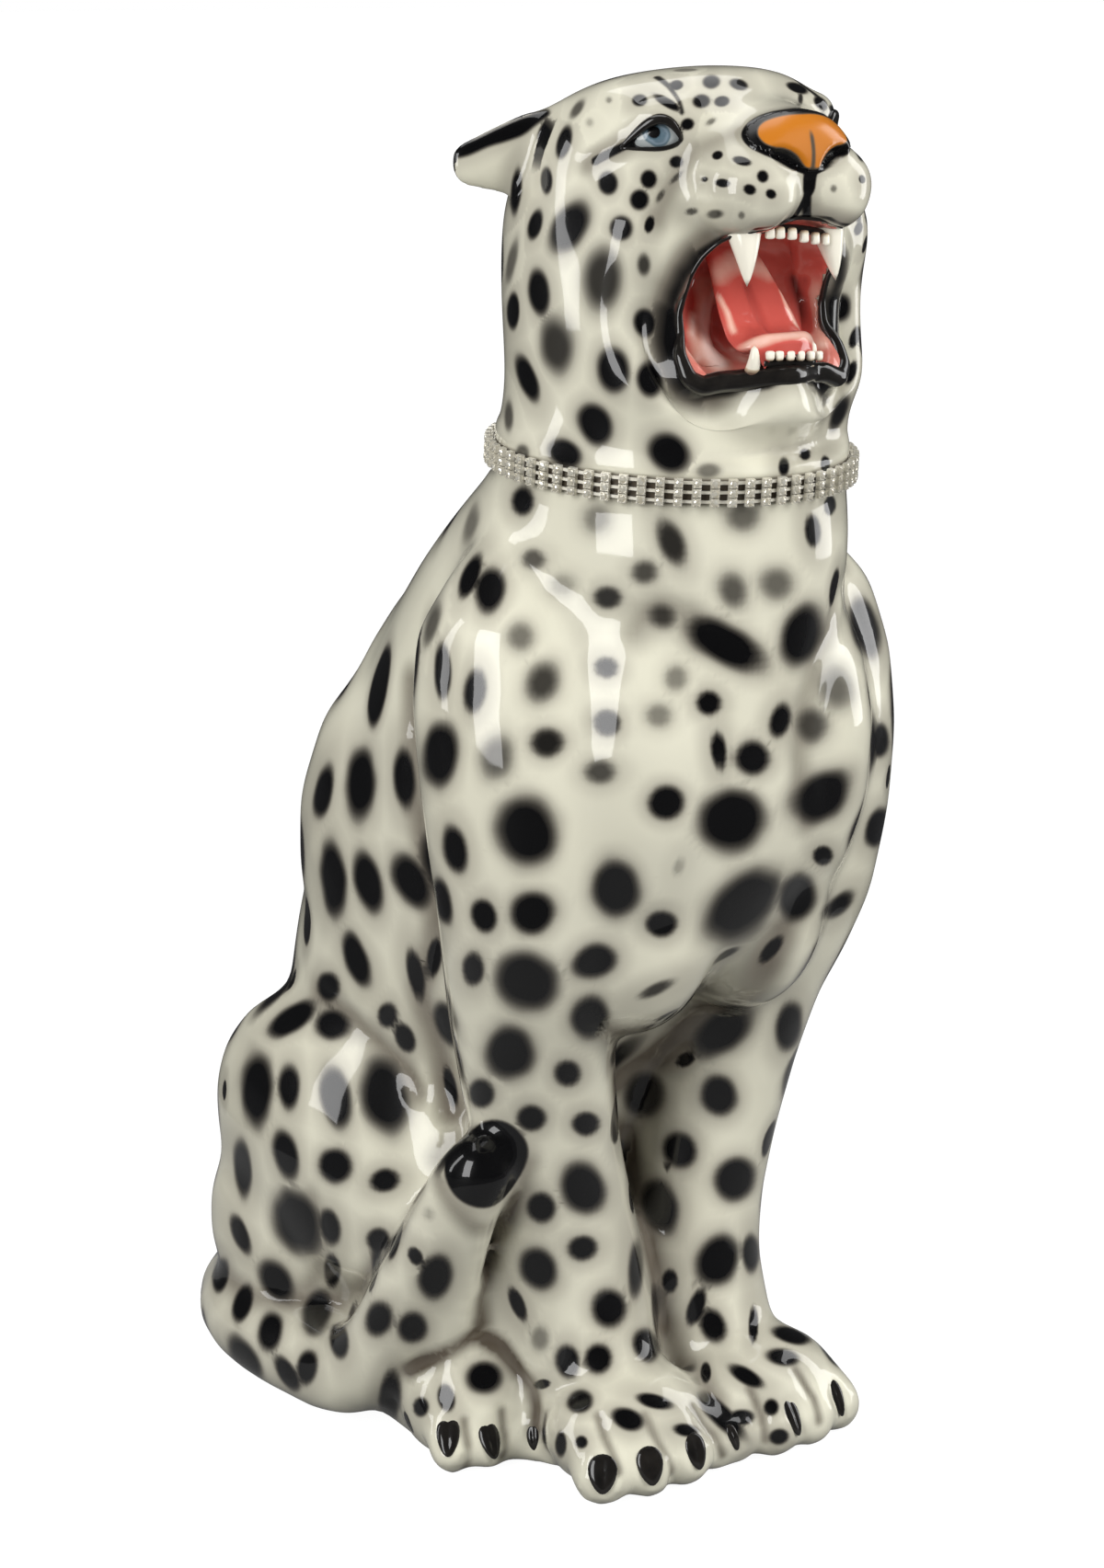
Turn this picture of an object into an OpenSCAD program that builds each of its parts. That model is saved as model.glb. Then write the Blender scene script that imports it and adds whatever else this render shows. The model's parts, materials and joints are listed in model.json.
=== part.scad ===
// Seated roaring leopard, a glazed slip-cast floor statue with a three-row crystal collar.
// The animal faces -Y, its left side is +X, and the floor is z = 0.
// Trunk and head stations read [height, width, front, back]; front and back are places along Y.
// A head station ends with how square its front is, where 2 is round.
// Limb stations read [x, y, z, thickness], with x measured outwards from the animal's middle.
// The head's own places are measured from the middle of the neck seam.

/* [Trunk] */
// Seat on the floor
trunk_seat = [0, 150, -40, 138]; // [-200:1:600]
// Loin above the seat
trunk_loin = [85, 166, -44, 152]; // [-200:1:600]
// Waist
trunk_waist = [165, 166, -66, 148]; // [-200:1:600]
// Belly behind the elbows
trunk_belly = [212, 168, -104, 141]; // [-200:1:600]
// Brisket
trunk_brisket = [245, 168, -148, 132]; // [-200:1:600]
// Fullest part of the chest
trunk_chest = [300, 172, -167, 106]; // [-200:1:600]
// Upper chest
trunk_breast = [345, 166, -169, 72]; // [-200:1:600]
// Top of the shoulders
trunk_shoulders = [385, 158, -168, 36]; // [-200:1:600]
// Root of the neck
trunk_neck_root = [415, 151, -169, 1]; // [-200:1:600]

// Middle of a breast muscle
pectoral_at = [35, -112, 318]; // [-200:1:450]
// Width, depth and height of a breast muscle
pectoral = [92, 106, 170]; // [40:1:200]
// Middle of a brisket muscle
brisket_at = [30, -100, 258]; // [-200:1:450]
// Width, depth and height of a brisket muscle
brisket = [78, 98, 120]; // [40:1:160]
// Middle of the ribs on one side
rib_at = [42, 24, 260]; // [-200:1:450]
// Width, depth and height of the ribs on one side
rib = [88, 164, 190]; // [40:1:200]
// Middle of the withers on one side
withers_at = [30, 25, 331]; // [-200:1:450]
// Width, depth and height of the withers on one side
withers = [66, 84, 160]; // [40:1:200]

/* [Casting] */
// Thickness of the cast wall
wall = 8; // [5:0.5:12]
// Diameter of the pouring hole in the floor
pour_hole_d = 44; // [20:1:60]
// Place of the pouring hole behind the origin
pour_hole_y = 66; // [50:1:90]

/* [Neck] */
// Radius of the neck under the collar
neck_r = 73.2; // [68:0.2:78]
// Height of the neck seam on its axis
neck_z = 442; // [436:1:450]
// Place of the neck axis along Y at the seam
neck_y = -96; // [-102:1:-90]
// Forward lean of the collar plane in degrees
collar_tilt = 4.5; // [0:0.5:8]

/* [Head] */
// Throat above the collar
head_throat = [17, 143, -71, 69, 2.1]; // [-120:1:180]
// Jaw
head_jaw = [34, 142, -76, 68, 2.4]; // [-120:1:180]
// Middle of the open mouth
head_mouth = [64, 145, -75, 69, 2.6]; // [-120:1:180]
// Cheeks
head_cheek = [98, 146, -72, 66, 2.4]; // [-120:1:180]
// Temples
head_temple = [118, 138, -66, 57, 2]; // [-120:1:180]
// Brow
head_brow = [134, 126, -56, 47, 2]; // [-120:1:180]
// Forehead
head_forehead = [147, 106, -50, 36, 2]; // [-120:1:180]
// Crown
head_crown = [155, 72, -43, 16, 2]; // [-120:1:180]
// Top of the crown
head_top = [158, 14, -22, -8, 2]; // [-120:1:180]

/* [Muzzle] */
// Muzzle where it leaves the face: place along Y, width, underside, top
muzzle_root = [-30, 92, 88, 148]; // [-120:1:180]
// Bridge of the muzzle
muzzle_bridge = [-60, 70, 96, 147]; // [-120:1:180]
// Tip behind the nose
muzzle_tip = [-82, 52, 104, 141]; // [-120:1:180]
// Middle of a whisker pad
whisker_pad_at = [20, -71, 114]; // [-120:1:180]
// Width, length and height of a whisker pad
whisker_pad = [46, 42, 34]; // [20:1:60]
// Middle of a brow
brow_at = [36, -38, 142]; // [-120:1:180]
// Width, length and height of a brow
brow = [38, 32, 16]; // [8:1:60]
// Middle of a cheek
cheek_at = [47, -37, 84]; // [-120:1:180]
// Width, length and height of a cheek
cheek = [44, 58, 64]; // [20:1:90]
// Middle of the lower lip at one corner of the mouth
lip_at = [35, -61, 46]; // [-120:1:180]
// Width, length and height of the lower lip there
lip = [32, 36, 34]; // [10:1:60]
// Middle of the chin
chin_at = [0, -63, 26]; // [-120:1:180]
// Width, length and height of the chin
chin = [78, 42, 36]; // [20:1:90]
// Middle of the nose pad
nose_at = [0, -80, 130]; // [-120:1:180]
// Width, length and height of the nose pad
nose = [46, 14, 26]; // [8:1:60]

/* [Mouth] */
// Middle of the open mouth
mouth_at = [0, -63, 71]; // [-120:1:120]
// Width, depth and height of the open mouth
mouth = [98, 74, 64]; // [40:1:110]
// Thickness of the mouth lining
lining = 2.5; // [1.5:0.5:4]
// Width of the tongue
tongue_w = 44; // [30:1:56]
// Place of an upper canine's root
upper_canine_at = [26, -76, 98]; // [-100:1:120]
// Length of an upper canine below its root
upper_canine_l = 23; // [15:1:28]
// Place of a lower canine's root
lower_canine_at = [22, -76, 44]; // [-100:1:120]
// Length of a lower canine above its root
lower_canine_l = 14; // [8:1:20]
// Diameter of a canine at its root
canine_d = 9.5; // [7:0.5:12]
// Middle of the upper incisors
upper_incisors_at = [0, -79, 97]; // [-100:1:120]
// Middle of the lower incisors
lower_incisors_at = [0, -77, 44]; // [-100:1:120]
// Height of an incisor
incisor_h = 10; // [6:0.5:12]
// Width of one incisor
incisor_w = 4.2; // [3:0.2:5]
// Teeth in each row of incisors
incisor_n = 6; // [4:2:8]

/* [Eyes and ears] */
// Middle of an eye
eye_at = [43, -47, 132]; // [-100:1:160]
// Width, depth and height of an eye
eye = [22, 12, 12]; // [6:1:30]
// Place of an ear's root
ear_root = [52, 12, 124]; // [-100:1:160]
// Place of an ear's tip
ear_tip = [91, 19, 120]; // [-100:1:160]
// Width of an ear across its root
ear_w = 42; // [30:1:56]
// Thickness of an ear
ear_t = 13; // [8:1:18]

/* [Forelegs] */
// Top of the shoulder blade
leg_blade = [60, -74, 414, 24]; // [-200:1:450]
// Shoulder
leg_shoulder = [70, -82, 374, 82]; // [-200:1:450]
// Upper arm
leg_upper_arm = [70, -92, 318, 93]; // [-200:1:450]
// Elbow
leg_elbow = [66, -91, 252, 83]; // [-200:1:450]
// Forearm
leg_forearm = [58, -77, 208, 73]; // [-200:1:450]
// Middle of the foreleg
leg_middle = [44, -66, 138, 65]; // [-200:1:450]
// Wrist
leg_wrist = [31, -67, 74, 65]; // [-200:1:450]
// Heel of the paw on the floor
leg_heel = [35, -84, 0, 66]; // [-200:1:450]
// How far the front paws stand to the animal's left
stance_sway = 8; // [0:1:12]
// Width and length of a front paw
front_paw = [86, 74]; // [50:1:95]
// Place of a front paw's middle along Y
front_paw_y = -110; // [-120:1:-100]

/* [Hind legs] */
// Middle of the haunch
haunch_at = [63, 44, 112]; // [-200:1:300]
// Width, length and height of the haunch
haunch = [88, 206, 146]; // [40:1:240]
// Middle of the folded lower leg
hock_at = [72, 86, 66]; // [-200:1:300]
// Width, length and height of the folded lower leg
hock = [74, 112, 110]; // [40:1:240]
// Front end of the hind foot behind its toes
foot_front = [67, -30, 18]; // [-120:1:120]
// Back end of the hind foot under the lower leg
foot_back = [66, 36, 26]; // [-120:1:120]
// Thickness of the hind foot
foot_d = 52; // [30:1:60]
// Place of a hind paw's middle
hind_paw_at = [68, -46]; // [-120:1:120]
// Width and length of a hind paw
hind_paw = [66, 70]; // [40:1:90]
// Height of every paw at its toes
paw_h = 48; // [30:1:54]

/* [Tail] */
// Thickness of the tail at its root
tail_root_d = 46; // [30:1:56]
// Thickness of the tail near its tip
tail_tip_d = 35; // [24:1:44]

/* [Collar] */
// Gap between the neck and the collar
collar_gap = 0.6; // [0.4:0.1:0.9]
// Thickness of a row's wire strip
strip_t = 1; // [0.6:0.1:1.4]
// Height of a row's wire strip
strip_h = 1.2; // [0.8:0.1:2]
// Distance between two rows of stones
row_pitch = 3.8; // [3.4:0.1:4.6]
// Distance between two columns of stones
column_pitch = 7.3; // [6:0.1:9]
// Rows of stones
row_n = 3; // [1:1:4]
// Thickness of a column's setting
setting_t = 2.2; // [1.6:0.1:3]
// Diameter of one stone
stone_d = 3; // [2:0.1:3.2]
// Depth that a stone sits in its setting
stone_seat = 1.2; // [0.6:0.1:1.5]
// Height of a stone above its setting
stone_rise = 0.6; // [0.3:0.1:1]

/* [Clasp] */
// Length of the clasp between its two rings
clasp_l = 10.5; // [9:0.5:14]
// Thickness of the clasp
clasp_t = 2.2; // [1.8:0.1:2.4]
// Thickness of the clasp's lever
lever_t = 1; // [0.6:0.1:1.2]
// Diameter of the lever's rivet
rivet_d = 0.9; // [0.6:0.1:1.2]
// Wire diameter of a ring
ring_wire = 0.8; // [0.5:0.1:1]
// Diameter of a ring at the middle of its wire
ring_d = 4.6; // [4.4:0.1:5]

/* [Hidden] */

ring_n = 32;
span_n = 2;
round_fn = 16;
toe_fn = 12;
bone_fn = 22;
pin_fn = 32;
right = -1;
left = 1;
far = 900;
ceramic = "ivory";
metal = "silver";

// Curves through stations
function blend4(p, t) =
    let (t2 = t * t, t3 = t2 * t)
    0.5 * (2 * p[1] + (p[2] - p[0]) * t + (2 * p[0] - 5 * p[1] + 4 * p[2] - p[3]) * t2
        + (3 * p[1] - p[0] - 3 * p[2] + p[3]) * t3);
function at_key(keys, i) = keys[max(0, min(len(keys) - 1, i))];
function along(keys, steps) =
    [for (i = [0 : len(keys) - 2], k = [0 : steps - 1])
        blend4([for (j = [-1 : 2]) at_key(keys, i + j)], k / steps), keys[len(keys) - 1]];

// Rings of points: an upright form's, squarer in front by its own power, and a limb's round its path
function power(v, p) = sign(v) * pow(abs(v), p);
function upright_ring(s, n) =
    let (mid = (s[2] + s[3]) / 2, a = s[1] / 2, b = (s[3] - s[2]) / 2, lean = s[4])
    [for (k = [0 : n - 1])
        let (t = 360 * k / n, p = t > 180 ? 2 / s[5] : 1, x = a * power(cos(t), p), y = b * power(sin(t), p))
        [x, mid + y * cos(lean), s[0] + y * sin(lean)]];
function muzzle_ring(s, n) =
    let (mid = (s[2] + s[3]) / 2, a = s[1] / 2, b = (s[3] - s[2]) / 2)
    [for (k = [0 : n - 1]) let (t = 360 * k / n) [a * cos(t), s[0], mid + b * sin(t)]];
function unit(v) = v / norm(v);
function tangent(path, i) = unit(at_key(path, i + 1) - at_key(path, i - 1));
function limb_ring(path, i, r, ref, n, flat) =
    let (t = tangent(path, i), side = unit(cross(t, ref)), other = flat * cross(t, side))
    [for (k = [0 : n - 1]) let (a = 360 * k / n) path[i] + r * (cos(a) * side + sin(a) * other)];
function middle(ring) = [for (c = [0 : 2]) [for (p = ring) p[c]] * [for (p = ring) 1] / len(ring)];

module skin(rings) {
    n = len(rings[0]);
    m = len(rings);
    points = concat([for (r = rings) each r], [middle(rings[0]), middle(rings[m - 1])]);
    sides = [for (i = [0 : m - 2], k = [0 : n - 1])
        let (a = i * n + k, b = i * n + (k + 1) % n)
        each [[a, b + n, b], [a, a + n, b + n]]];
    floor_cap = [for (k = [0 : n - 1]) [(k + 1) % n, m * n, k]];
    top_cap = [for (k = [0 : n - 1]) [(m - 1) * n + k, m * n + 1, (m - 1) * n + (k + 1) % n]];
    polyhedron(points, concat(sides, floor_cap, top_cap));
}

module limb(stations, ref, n = round_fn, steps = span_n, flat = 1) {
    full = along(stations, steps);
    path = [for (s = full) [s[0], s[1], s[2]]];
    skin([for (i = [0 : len(path) - 1]) limb_ring(path, i, full[i][3] / 2, ref, n, flat)]);
}

module muscle(place, size, turn = [0, 0, 0], fn = round_fn)
    translate(place) rotate(turn) hull() scale(size / 2) sphere(r = 1, $fn = fn);

module both_sides() {
    children();
    mirror([1, 0, 0]) children();
}

module on_side(side) mirror([side == left ? 0 : 1, 0, 0]) children();
module above_floor() {
    difference() {
        children();
        translate([0, 0, -far / 2]) cube(far, center = true);
    }
}

// Trunk: one loft from the seat to the neck seam, with the main muscles laid on it
trunk_square = 2.2;
function lean_at(z) = collar_tilt * max(0, (z - trunk_brisket[0]) / (neck_z - trunk_brisket[0]));
function trunk_level(s) = concat(s, [lean_at(s[0]), trunk_square]);
function neck_ring(shift, r) =
    let (mid = -shift * sin(collar_tilt))
    [shift * cos(collar_tilt), 2 * r, mid - r, mid + r, collar_tilt, 2];
function from_neck(s) = [s[0] + neck_z, s[1], s[2] + neck_y, s[3] + neck_y, s[4], s[5]];
neck_band = 9;
trunk_stations = concat(
    [for (s = [trunk_seat, trunk_loin, trunk_waist, trunk_belly, trunk_brisket, trunk_chest, trunk_breast,
        trunk_shoulders, trunk_neck_root]) trunk_level(s)],
    [from_neck(neck_ring(-neck_band, neck_r)), from_neck(neck_ring(0, neck_r))]);
pectoral_turn = [4, 0, 8];
brisket_turn = [-14, 0, 0];
rib_turn = [28, 0, 0];
withers_turn = [44, 0, 0];

module trunk_form() skin([for (s = along(trunk_stations, span_n)) upright_ring(s, ring_n)]);

module body_form() {
    trunk_form();
    both_sides() {
        muscle(pectoral_at, pectoral, pectoral_turn);
        muscle(brisket_at, brisket, brisket_turn);
        muscle(rib_at, rib, rib_turn);
        muscle(withers_at, withers, withers_turn);
    }
}

function inset(s, by) = [s[0], s[1] - 2 * by, s[2] + by, s[3] - by, s[4], s[5]];
hollow_stations = concat(
    [inset(concat([wall], [for (i = [1 : 5]) trunk_stations[0][i]]), wall)],
    [for (i = [1 : len(trunk_stations) - 2]) inset(trunk_stations[i], wall)],
    [inset(from_neck(neck_ring(neck_band, neck_r)), wall)]);

module torso_hollow() skin([for (s = along(hollow_stations, span_n)) upright_ring(s, round_fn)]);

module torso_shell() color(ceramic)
    difference() {
        body_form();
        torso_hollow();
        translate([0, pour_hole_y, -wall]) cylinder(d = pour_hole_d, h = 3 * wall, $fn = pin_fn);
    }

// Paws: a low dome with four toes, its middle at the origin and its toes towards -Y
paw_dome = [0.94, 0.86, 1.16];
paw_dome_back = 0.06;
paw_dome_h = 0.44;
toe_share = 0.156;
toe_fan = 0.07;
knuckle_in = 0.85;
knuckle_back = 0.1;
knuckle_h = 0.52;
toe_sink = 0.9;

module paw(size) {
    toe_r = size[0] * toe_share;
    step = (size[0] / 2 - toe_r) / 1.5;
    bulk = [size[0] * paw_dome[0], size[1] * paw_dome[1], paw_h * paw_dome[2]];
    muscle([0, size[1] * paw_dome_back, paw_h * paw_dome_h], bulk);
    for (i = [-1.5 : 1 : 1.5]) {
        back = abs(i) * size[1] * toe_fan;
        hull() {
            translate([i * step * knuckle_in, back - size[1] * knuckle_back, paw_h * knuckle_h])
                sphere(r = toe_r, $fn = toe_fn);
            translate([i * step, back + toe_r - size[1] / 2, toe_r * toe_sink])
                sphere(r = toe_r, $fn = toe_fn);
        }
    }
}

// Forelegs: the shoulder blade down to the paw, swaying to the animal's left towards the floor
function sway(z) = stance_sway * max(0, 1 - z / leg_forearm[2]);
function leg_stations(side) =
    [for (s = [leg_blade, leg_shoulder, leg_upper_arm, leg_elbow, leg_forearm, leg_middle, leg_wrist, leg_heel])
        [side * s[0] + sway(s[2]), s[1], s[2], s[3]]];

module foreleg_form(side) above_floor() {
    limb(leg_stations(side), [0, 1, 0]);
    translate([side * leg_heel[0] + stance_sway, front_paw_y, 0]) paw(front_paw);
}

module right_foreleg() color(ceramic)
    difference() {
        foreleg_form(right);
        body_form();
    }

module left_foreleg() color(ceramic)
    difference() {
        foreleg_form(left);
        body_form();
        foreleg_form(right);
    }

// Hind legs: the haunch, the lower leg folded under it and the paw in front
haunch_turn = [9, 0, -5];
hock_turn = [0, 0, -6];

module hind_leg_form(side) above_floor() on_side(side) {
    muscle(haunch_at, haunch, haunch_turn, bone_fn);
    muscle(hock_at, hock, hock_turn);
    hull() {
        translate(foot_front) sphere(d = foot_d, $fn = toe_fn);
        translate(foot_back) sphere(d = foot_d, $fn = toe_fn);
    }
    translate([hind_paw_at[0], hind_paw_at[1], 0]) paw(hind_paw);
}

module right_hind_leg() color(ceramic)
    difference() {
        hind_leg_form(right);
        body_form();
        foreleg_form(right);
    }

module left_hind_leg() color(ceramic)
    difference() {
        hind_leg_form(left);
        body_form();
        foreleg_form(left);
    }

// Tail: from the rump along the floor round the right haunch, then up against the right foreleg
tail_path = [
    [30, 150, 24], [-20, 156, 23], [-64, 142, 22], [-90, 112, 21], [-98, 76, 21], [-97, 42, 21], [-95, 12, 23],
    [-93, -15, 44], [-92, -36, 80], [-90, -56, 112], [-87, -75, 138], [-85, -83, 150], [-84, -87, 155]];
tail_thin = [0, 0.1, 0.2, 0.3, 0.3, 0.3, 0.4, 0.6, 0.8, 1, 1];
tail_end = [0.78, 0.18];
tail_stations = [for (i = [0 : len(tail_path) - 1])
    let (d = i < len(tail_thin)
        ? tail_root_d + (tail_tip_d - tail_root_d) * tail_thin[i]
        : tail_tip_d * tail_end[i - len(tail_thin)])
    concat(tail_path[i], d)];

module tail() color(ceramic)
    difference() {
        above_floor() limb(tail_stations, [0.2, 0.1, 1]);
        body_form();
        hind_leg_form(right);
        hind_leg_form(left);
        foreleg_form(right);
    }

// Head: one loft from the neck seam to the crown, with the muzzle, brows, cheeks and chin laid on it
crown_lean = -5;
function head_level(s, lean) = [s[0], s[1], s[2], s[3], lean, s[4]];
head_stations = concat(
    [neck_ring(0, neck_r), neck_ring(neck_band, neck_r), head_level(head_throat, collar_tilt / 2)],
    [for (s = [head_jaw, head_mouth, head_cheek, head_temple, head_brow]) head_level(s, 0)],
    [for (s = [head_forehead, head_crown, head_top]) head_level(s, crown_lean)]);
muzzle_end = muzzle_tip + [-4, -22, 8, -8];
muzzle_stations = [muzzle_root, muzzle_bridge, muzzle_tip, muzzle_end];
pad_turn = [0, 8, -16];
brow_turn = [0, 24, -30];
cheek_turn = [0, 0, -12];
lip_turn = [0, 0, -20];

module in_head() translate([0, neck_y, neck_z]) children();

module head_form() in_head() {
    skin([for (s = along(head_stations, span_n)) upright_ring(s, ring_n)]);
    skin([for (s = along(muzzle_stations, span_n)) muzzle_ring(s, bone_fn)]);
    both_sides() {
        muscle(whisker_pad_at, whisker_pad, pad_turn);
        muscle(brow_at, brow, brow_turn);
        muscle(cheek_at, cheek, cheek_turn);
        muscle(lip_at, lip, lip_turn);
    }
    muscle(chin_at, chin);
}

module mouth_form(grow) in_head()
    muscle(mouth_at, mouth + grow * [2, 2, 2], [0, 0, 0], bone_fn);

neck_lap = 3;
throat_hollow_at = [0, 8, 20];
throat_hollow_d = 102;
skull_hollow_low = [0, 24, 20];
skull_hollow_high = [0, 24, 104];
skull_hollow_d = 68;

module head_hollow() in_head() {
    hull() {
        rotate([collar_tilt, 0, 0]) translate([0, 0, -wall])
            cylinder(r = neck_r - wall, h = wall + neck_lap, $fn = round_fn);
        translate(throat_hollow_at) cylinder(d = throat_hollow_d, h = 1, $fn = round_fn);
    }
    hull() {
        translate(skull_hollow_low) sphere(d = skull_hollow_d, $fn = round_fn);
        translate(skull_hollow_high) sphere(d = skull_hollow_d, $fn = round_fn);
    }
}

module head_shell() color(ceramic)
    difference() {
        head_form();
        mouth_form(lining);
        head_hollow();
    }

// Everything solid around the open mouth, which roots and sides of the mouth's pieces are trimmed to
module around_mouth() difference() {
    head_form();
    mouth_form(0);
}

module mouth_lining() color("indianred")
    intersection() {
        difference() {
            mouth_form(lining);
            mouth_form(0);
        }
        head_form();
    }

tongue_flat = 0.5;
tongue_stations = [
    [0, -28, 62, tongue_w * 0.6], [0, -38, 56, tongue_w * 0.9], [0, -54, 49, tongue_w],
    [0, -66, 47, tongue_w * 0.9], [0, -73, 47, tongue_w * 0.2]];

module tongue() color("salmon")
    intersection() {
        in_head() limb(tongue_stations, [0, 0, 1], round_fn, span_n, tongue_flat);
        mouth_form(0);
        head_form();
    }

canine_lean = 3;
canine_point = 0.2;

module canine(place, length) in_head()
    translate(place) hull() {
        sphere(d = canine_d, $fn = toe_fn);
        translate([0, canine_lean, length]) sphere(d = canine_d * canine_point, $fn = toe_fn);
    }

module upper_canine(side) color("cornsilk")
    difference() {
        canine([side * upper_canine_at[0], upper_canine_at[1], upper_canine_at[2]], -upper_canine_l);
        around_mouth();
    }

module lower_canine(side) color("cornsilk")
    difference() {
        canine([side * lower_canine_at[0], lower_canine_at[1], lower_canine_at[2]], lower_canine_l);
        around_mouth();
    }

module upper_right_canine() upper_canine(right);
module upper_left_canine() upper_canine(left);
module lower_right_canine() lower_canine(right);
module lower_left_canine() lower_canine(left);

incisor_t = 4;
incisor_gap = 0.6;
incisor_arc = 0.12;
incisor_fn = 6;

module incisors(root) color("cornsilk")
    difference() {
        for (i = [0 : incisor_n - 1]) {
            x = (i - (incisor_n - 1) / 2) * (incisor_w + incisor_gap);
            tooth = [incisor_w, incisor_t, incisor_h];
            in_head() muscle(root + [x, abs(x) * incisor_arc, 0], tooth, [0, 0, 0], incisor_fn);
        }
        around_mouth();
    }

module upper_incisors() incisors(upper_incisors_at);
module lower_incisors() incisors(lower_incisors_at);

ear_turn = [0, 12, 10];
ear_tip_form = [1, 0.6, 1.5];

module ear(side) color(ceramic)
    difference() {
        in_head() on_side(side) hull() {
            translate(ear_root) rotate(ear_turn) scale([1, ear_t / ear_w, 1])
                sphere(d = ear_w, $fn = round_fn);
            translate(ear_tip) rotate(ear_turn) scale(ear_tip_form) sphere(d = ear_t, $fn = round_fn);
        }
        head_form();
    }

module right_ear() ear(right);
module left_ear() ear(left);

eye_turn = [0, 0, 40];

module eye_ball(side) color("lightsteelblue")
    difference() {
        in_head() on_side(side) muscle(eye_at, eye, eye_turn);
        head_form();
    }

module right_eye() eye_ball(right);
module left_eye() eye_ball(left);

nose_wings = [1, 1, 0.6];
nose_foot = [0.4, 1, 0.4];
nose_wings_up = 0.2;
nose_foot_down = 0.35;
function times(a, b) = [a[0] * b[0], a[1] * b[1], a[2] * b[2]];

module nose_pad() color("orange")
    difference() {
        in_head() hull() {
            translate([0, 0, nose[2] * nose_wings_up]) muscle(nose_at, times(nose, nose_wings));
            translate([0, 0, -nose[2] * nose_foot_down]) muscle(nose_at, times(nose, nose_foot));
        }
        head_form();
    }

// Collar: straight strips between columns of stones, on the neck's own axis, with angle 0 at the nape
collar_in_r = neck_r + collar_gap;
collar_out_r = collar_in_r + strip_t;
column_n = round(2 * PI * (collar_out_r + setting_t / 2) / column_pitch);
column_turn = 360 / column_n;
collar_h = row_n * row_pitch;
row_levels = [for (i = [0 : row_n - 1]) (i - (row_n - 1) / 2) * row_pitch];
setting_w = row_pitch;
clasp_r = collar_out_r + setting_t / 2;
open_columns = 2;
bar_angle = open_columns * column_turn;
bar_x = clasp_r * sin(bar_angle);

module on_collar(angle, r)
    in_head() rotate([collar_tilt, 0, 0]) rotate([0, 0, angle]) translate([0, r, 0]) children();

module strip_outline(r) {
    reach = r / cos(column_turn / 2);
    polygon([for (k = [0 : column_n - 1])
        let (a = 90 + (k + 0.5) * column_turn)
        reach * [cos(a), sin(a)]]);
}

module collar_rows() color(metal)
    for (z = row_levels) {
        on_collar(0, 0) translate([0, 0, z - strip_h / 2]) difference() {
            linear_extrude(strip_h) difference() {
                strip_outline(collar_out_r);
                strip_outline(collar_in_r);
            }
            translate([-bar_x, 0, -strip_h]) cube([2 * bar_x, 2 * neck_r, 3 * strip_h]);
        }
    }

column_angles = [for (k = [open_columns + 1 : column_n - open_columns - 1]) k * column_turn];
seat_fit = 0.04;

stone_sides = 8;

module stone_prism(d, h) rotate([-90, 0, 0]) cylinder(d = d, h = h, $fn = stone_sides);

module collar_settings() color(metal)
    for (a = column_angles) {
        on_collar(a, collar_out_r) difference() {
            translate([-setting_w / 2, 0, -collar_h / 2]) cube([setting_w, setting_t, collar_h]);
            for (z = row_levels) {
                translate([0, setting_t - stone_seat, z]) stone_prism(stone_d + 2 * seat_fit, setting_t);
            }
        }
    }

module collar_stones() color("azure")
    for (a = column_angles, z = row_levels) {
        on_collar(a, collar_out_r + setting_t - stone_seat)
            translate([0, 0, z]) stone_prism(stone_d, stone_seat + stone_rise);
    }

// Clasp at the nape: an end bar and a ring on each side, and a sprung hook between the rings
ring_reach = ring_d / 2;
ring_bend = ring_reach - sqrt(pow(ring_reach - ring_wire / 2, 2) - pow(clasp_t / 2, 2));
ring_play = 0.2;
eye_hole_d = 2 * (ring_bend + ring_play);
eye_d = eye_hole_d + 2;
hook_x = clasp_l / 2;
tab_x = (hook_x + ring_d) * cos(bar_angle) - bar_x;
tab_t = 1.2;
slot_t = lever_t + 0.3;
shank_h = 2.8;
pivot = [-1.4, 1.1];
lever_h = 1.3;
pivot_boss_r = lever_h / 2 + 0.5;
slot_corner = pivot - [lever_h / 2 + 0.3, lever_h / 2 + 0.2];
gate_low = -0.2;
hook_r = 2.9;
hook_hole_r = 1.8;
hook_mid = hook_x - hook_hole_r + ring_bend + ring_play;
gate_x = pivot[0] + lever_h;
lever_l = hook_mid - pivot[0] - 0.4;
lever_low = 0.1;
thumb_at = pivot + [0.4, 0];
thumb = [0.8, 2.2];
rivet_play = 0.1;
rivet_fit = 0.02;

module flat_on_collar(t)
    on_collar(0, clasp_r) translate([0, t / 2, 0]) rotate([90, 0, 0]) linear_extrude(t) children();

module tab_round(d, t)
    translate([tab_x, clasp_r + t / 2, 0]) rotate([90, 0, 0]) cylinder(d = d, h = t, $fn = pin_fn);

module collar_end_bars() color(metal)
    for (side = [right, left]) {
        on_collar(0, 0) on_side(side) rotate([0, 0, -bar_angle]) difference() {
            union() {
                translate([-setting_w / 2, collar_out_r, -collar_h / 2])
                    cube([setting_w, setting_t, collar_h]);
                translate([tab_x, clasp_r - tab_t / 2, -eye_d / 2]) cube([-tab_x, tab_t, eye_d]);
                tab_round(eye_d, tab_t);
            }
            tab_round(eye_hole_d, 2 * tab_t);
        }
    }

module collar_rings() color(metal)
    for (side = [right, left]) {
        on_collar(0, clasp_r) translate([side * (hook_x + ring_reach), 0, 0])
            rotate_extrude($fn = 48) translate([ring_reach, 0]) circle(d = ring_wire, $fn = 20);
    }

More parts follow.
